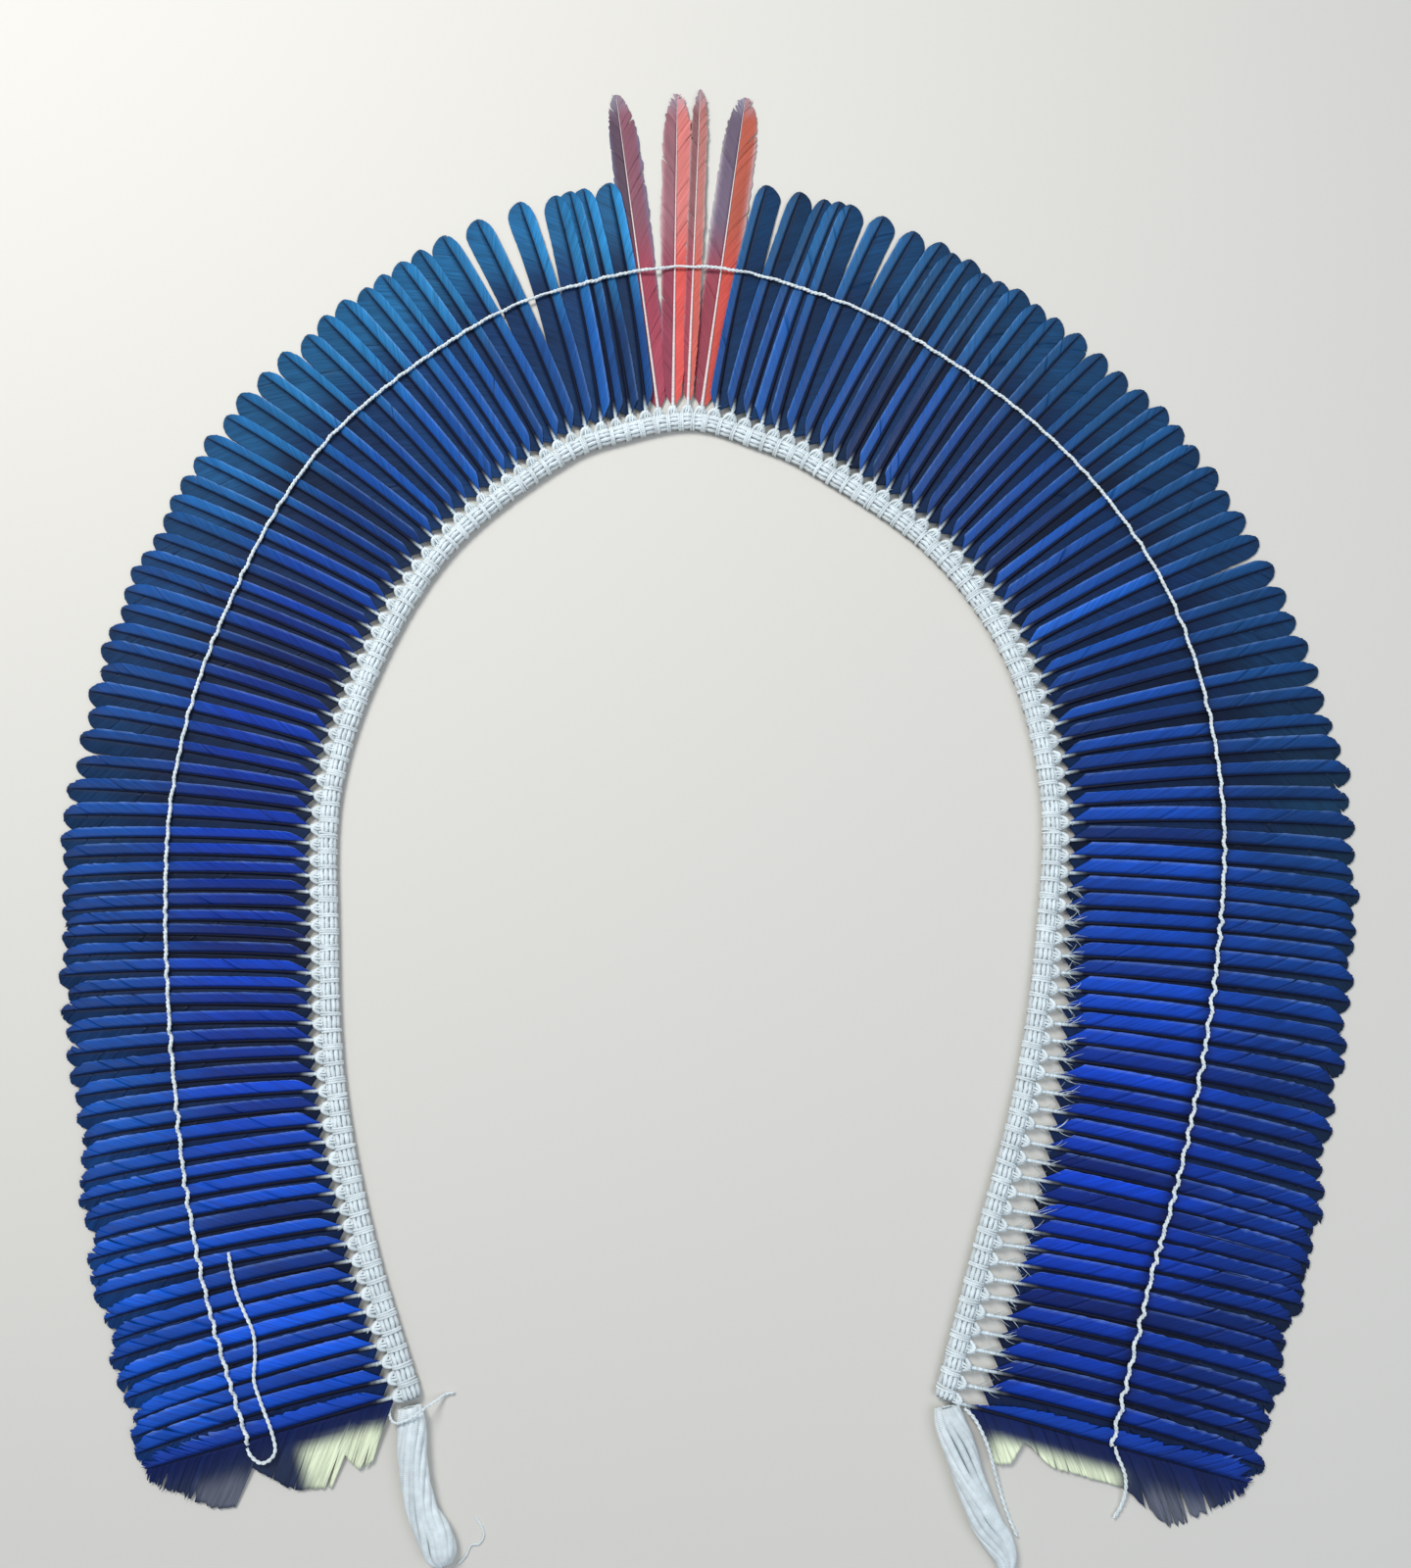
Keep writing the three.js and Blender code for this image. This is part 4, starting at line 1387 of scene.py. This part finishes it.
class StayCord:
    """The two-ply string that crosses every feather and keeps them in line."""

    HEIGHT = 5.3
    STEP = 1.3  # between points of its line
    HALF = 806  # its reach along the band, each way from the crown
    PLY_RADIUS = 0.86
    PLY_OFFSET = 0.62
    PLY_PITCH = 6.5
    EASE = 4  # points each way that even out its line

    def __init__(self, material: bpy.types.Material) -> None:
        """Keeps the piece's material."""
        self.material = material

    def route(self) -> tuple[Grid, Grid]:
        """Its centre line and the distance from the crown of each point."""
        at = np.arange(-self.HALF, self.HALF + 0.1, self.STEP)
        place = []
        for a in at:
            arm = LEFT_ARM if a < 0 else RIGHT_ARM
            lean = math.radians(arm.value(abs(a), "lean"))
            way = turned(ROUTE.outward(a), -arm.side * lean)
            x, y = ROUTE.point(a)[:2] + way * arm.value(abs(a), "stay")
            place.append((x, y, self.HEIGHT))
        return np.array(place), at

    def build(self) -> None:
        """Makes the cord's mesh."""
        line, at = self.route()
        even = line.copy()
        kernel = np.ones(2 * self.EASE + 1) / (2 * self.EASE + 1)
        for k in (0, 1):
            even[:, k] = np.convolve(np.pad(line[:, k], self.EASE, mode="edge"), kernel, "valid")
        even[: self.EASE], even[-self.EASE :] = line[: self.EASE], line[-self.EASE :]
        even[:, 2] += self._waves(at)
        side = np.stack([ROUTE.outward(a) for a in at])
        worn = np.interp(at, [-800, -500, 0, 350, 500, 800], [1.0, 0.55, 0.3, 0.5, 1.3, 1.3])
        left = (-at - LEFT_ARM.first) / LEFT_ARM.pitch
        right = (at - RIGHT_ARM.first) / RIGHT_ARM.pitch
        beat = np.where(at < 0, left, right)
        sway = worn * np.sin((beat + 0.15 * np.sin(beat * 1.7)) * 2 * math.pi)
        even[:, :2] += side * (0.8 * sway + 0.25 * np.sin(at / 2.3))[:, None]
        mesh = Mesher()
        for number, ply in enumerate(twisted(even, 2, self.PLY_OFFSET, self.PLY_PITCH)):
            mesh.strand(ply, self.PLY_RADIUS, COTTON_LIGHT * (1 - 0.1 * number), 6, number)
        finish_piece(mesh.build("stay_string", self.material), Slot.COTTON, "stay_cord")

    def _waves(self, at: Grid) -> Grid:
        """How far the cord dips between feathers, at distances from the crown."""
        waves = np.zeros(len(at))
        for arm in (LEFT_ARM, RIGHT_ARM):
            mine = at * arm.side > 10
            beat = (np.abs(at[mine]) - arm.first) / arm.pitch
            deep = 1.1 + 1.1 * np.interp(np.abs(at[mine]), [200, 500], [0, 1])
            waves[mine] = -deep * (0.5 + 0.5 * np.cos((beat + 0.62) * 2 * math.pi)) ** 3
        return waves


@dataclass(frozen=True)
class CordRow:
    """A free cord: its diameter, its plies, its far end and the points of its centre line."""

    name: str
    diameter: float
    plies: int
    far_end: FarEnd
    points: tuple[tuple[float, float, float], ...]
    stiffness: str = "limp"


FREE_CORDS = (
    CordRow("stay_tail_left", 2.5, 2, FarEnd.BARE, (
        (-291, -429, 6.4), (-288, -434, 6.2), (-282, -438, 6.0), (-276, -436, 6.0),
        (-273, -430, 6.2), (-276, -419, 6.4), (-281, -408, 6.4), (-285, -399, 6.4),
        (-289, -388, 6.4), (-289, -374, 6.4), (-291, -360, 6.4), (-297, -348, 6.4),
        (-303, -336, 6.4), (-307, -323, 6.4), (-310, -310, 6.4),
    )),
    CordRow("stay_tail_right", 2.5, 2, FarEnd.BARE, (
        (260, -428, 6.4), (261, -433, 6.4), (264, -440, 6.2), (266, -447, 5.2),
        (266, -456, 3.2), (263, -465, 1.6), (258, -472, 1.35),
    )),
    CordRow("band_tail_left", 2.0, 2, FarEnd.BARE, (
        (-202, -404, 1.3), (-202, -409, 3.0), (-200, -412, 7.0), (-196, -413, 11.2),
        (-190, -411, 13.6), (-184, -408, 13.4), (-178, -404, 10.5), (-172, -401, 5.0),
        (-167, -398, 1.8), (-161, -397, 1.2),
    )),
    CordRow("tie_thread_left", 1.2, 2, FarEnd.BARE, (
        (-156, -499, 0.9), (-151, -494, 0.7), (-148, -488, 0.7), (-143, -487, 0.7),
        (-140, -482, 0.7), (-142, -476, 0.7), (-146, -471, 0.7),
    )),
    CordRow("side_cord_right", 2.5, 2, FarEnd.OBJECT, (
        (165, -405, 6.8), (171, -411, 6.6), (176, -420, 6.2), (180, -430, 5.4),
        (183, -441, 3.6), (186, -452, 2.0), (189, -463, 1.4), (193, -474, 1.35),
        (197, -483, 1.35),
    )),
)  # fmt: skip


class FreeCords:
    """The loose ends of string, each a cord of its own."""

    PLY_RADIUS = 0.285  # these three as shares of the cord's diameter
    PLY_OFFSET = 0.21
    PLY_PITCH = 3.0

    def __init__(self, material: bpy.types.Material) -> None:
        """Keeps the pieces' material."""
        self.material = material

    def build(self) -> None:
        """Makes the cords."""
        for row in FREE_CORDS:
            line = spline(np.array(row.points, float), 12 * len(row.points))
            length = float(run_of(line)[-1])
            mesh = Mesher()
            radius, offset = self.PLY_RADIUS * row.diameter, self.PLY_OFFSET * row.diameter
            plies = twisted(line, row.plies, offset, self.PLY_PITCH * row.diameter)
            for number, ply in enumerate(plies):
                ends = np.minimum(np.arange(len(ply)), np.arange(len(ply))[::-1])
                size = radius * np.clip(0.35 + ends * 0.3, 0, 1)
                mesh.strand(ply, size, COTTON_LIGHT * (1 - 0.06 * number), 6, number)
            made = mesh.build(f"string_{row.name}", self.material)
            finish_piece(made, Slot.COTTON, row.name)
            path = metres(line)


TIE_ROWS = {
    "left": (
        (-189, -405, 15, 10), (-187, -415, 18, 12), (-186, -432, 18, 13), (-183, -450, 18, 13),
        (-178, -467, 19, 12), (-170, -481, 22, 12), (-166, -491, 20, 11), (-163, -498, 11, 8),
    ),
    "right": (
        (154, -405, 15, 10), (156, -414, 19, 12), (161, -428, 20, 13), (166, -444, 19, 13),
        (171, -459, 19, 13), (177, -473, 19, 12), (184, -484, 18, 10), (188, -494, 14, 8),
        (188, -504, 8, 6),
    ),
}  # fmt: skip


class Ties:
    """The band's strands twisted into a thick bundle at each end."""

    STRANDS = 11
    TWIST = 0.03  # radians per mm

    def __init__(self, material: bpy.types.Material) -> None:
        """Keeps the pieces' material."""
        self.material = material

    def build(self) -> None:
        """Makes both ties."""
        for name, sense in (("left", 1), ("right", -1)):
            rows = spline(np.array(TIE_ROWS[name], float), 46)
            mesh = Mesher()
            self._add_bundle(mesh, rows, sense)
            made = mesh.build(f"twisted_tie_{name}", self.material)
            finish_piece(made, Slot.COTTON, f"tie_{name}")

    def _add_bundle(self, mesh: Mesher, rows: Grid, sense: int) -> None:
        """Adds a tie.

        Args:
            mesh: takes the faces.
            rows: x, y, width and height along it.
            sense: 1 or -1, the way it is twisted.
        """
        place, width, height = rows[:, :2], rows[:, 2], rows[:, 3]
        along = np.gradient(place, axis=0)
        along /= np.linalg.norm(along, axis=1, keepdims=True)
        across = np.stack([-along[:, 1], along[:, 0]], 1)
        run = run_of(place)
        rng = np.random.default_rng(23 if sense > 0 else 29)
        for k in range(self.STRANDS):
            thick = rng.uniform(2.1, 2.8)
            angle = k / self.STRANDS * 2 * math.pi + sense * self.TWIST * run
            angle = angle + 0.18 * np.sin(run / 13 + k)
            room = np.maximum(width / 2 - 0.8 * thick, 1.2)
            rise = np.maximum(height / 2 - 0.95 * thick, 1.0)
            x = place + across * (room * np.cos(angle))[:, None]
            z = height / 2 + rise * np.sin(angle) + 0.15
            line = np.concatenate([x, z[:, None]], 1)
            taper = np.clip((run[-1] - run) / 8 + 0.35, 0, 1)
            mesh.strand(line, thick * taper, COTTON_LIGHT * rng.uniform(0.82, 1.0), 8, k)
        # painted shade: a dark core down the tie's middle, seen between its strands
        core = np.concatenate([place, (height / 2)[:, None]], 1)
        mesh.strand(core, np.maximum(height / 2 - 1.6, 1.0), COTTON_SHADE * 0.5, 8, 99)


# ---------------------------------------------------------------- the studio


@dataclass(frozen=True)
class Light:
    """A soft studio light over the floor, in metres and watts."""

    name: str
    place: tuple[float, float, float]
    size: float
    power: float
    colour: str


LIGHTS = (
    Light("key_light", (-0.9, 1.0, 1.6), 0.9, 33.0, "#FFFFFF"),
    Light("fill_light", (1.2, -0.5, 1.8), 1.6, 14.0, "#EAF2FF"),
)


class Studio:
    """Floor, lights and camera."""

    FLOOR_SIDE = 6.0
    CAMERA_BACK = 0.164
    CAMERA_HEIGHT = 0.930
    TARGET = (-PLAN_CENTRE[0] / 1000, -PLAN_CENTRE[1] / 1000, 0.0)
    LENS = 31.25
    SENSOR = 36.0  # mm, like the lens
    SKY = "#DCE6F2"
    SKY_STRENGTH = 0.45

    def build(self) -> None:
        """Makes the camera."""
        scene = bpy.context.scene
        data = bpy.data.cameras.new("camera")
        data.sensor_width, data.lens = self.SENSOR, self.LENS
        camera = bpy.data.objects.new("camera", data)
        x, y, z = self.TARGET
        camera.location = (x, y - self.CAMERA_BACK, self.CAMERA_HEIGHT)
        look = Vector(self.TARGET) - camera.location
        camera.rotation_euler = look.to_track_quat("-Z", "Y").to_euler()
        scene.collection.objects.link(camera)
        scene.camera = camera
        scene.view_settings.view_transform = "Standard"

    def furnish(self, material: bpy.types.Material) -> None:
        """Makes the floor, the lights and the sky.

        Args:
            material: the floor's material.
        """
        bpy.ops.mesh.primitive_plane_add(size=self.FLOOR_SIDE, location=(0, 0, 0))
        floor = bpy.context.active_object
        floor.name = "floor"
        floor.data.materials.append(material)
        floor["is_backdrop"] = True
        for row in LIGHTS:
            data = bpy.data.lights.new(row.name, "AREA")
            data.shape, data.size, data.energy = "DISK", row.size, row.power
            data.color = linear(row.colour).tolist()
            light = bpy.data.objects.new(row.name, data)
            light.location = row.place
            aim = Vector(self.TARGET) - light.location
            light.rotation_euler = aim.to_track_quat("-Z", "Y").to_euler()
            bpy.context.scene.collection.objects.link(light)
        world = bpy.data.worlds.new("studio")
        world.use_nodes = True
        sky = world.node_tree.nodes["Background"]
        sky.inputs["Color"].default_value = (*linear(self.SKY), 1)
        sky.inputs["Strength"].default_value = self.SKY_STRENGTH
        bpy.context.scene.world = world


def main() -> None:
    """Builds the scene, piece by piece."""
    logging.basicConfig(level=logging.INFO, format="%(message)s")
    studio = Studio()
    studio.build()
    cotton = CottonFinish("bleached_cotton_string").build()
    blue = FeatherFinish("blue_dyed_feather").build()
    end = FeatherFinish("navy_dyed_feather", streak=0.3, roughness=0.5).build()
    red = FeatherFinish("red_dyed_feather", streak=0.22, sheen_colour="#FFD0C8").build()
    FreeCords(cotton).build()
    Band(cotton).build()
    KnotRow(cotton).build()
    StayCord(cotton).build()
    Ties(cotton).build()
    ArmFeathers(LEFT_ARM, blue).build()
    ArmFeathers(RIGHT_ARM, blue).build()
    EndFeathers(end).build()
    CrownFeathers(red).build()
    studio.furnish(FloorFinish("pale_floor").build())
    boxes = {"cad": CAD_BOUNDS, "visual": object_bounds()}
    {k: [list(map(float, p)) for p in v] for k, v in boxes.items()}


if __name__ == "__main__":
    main()
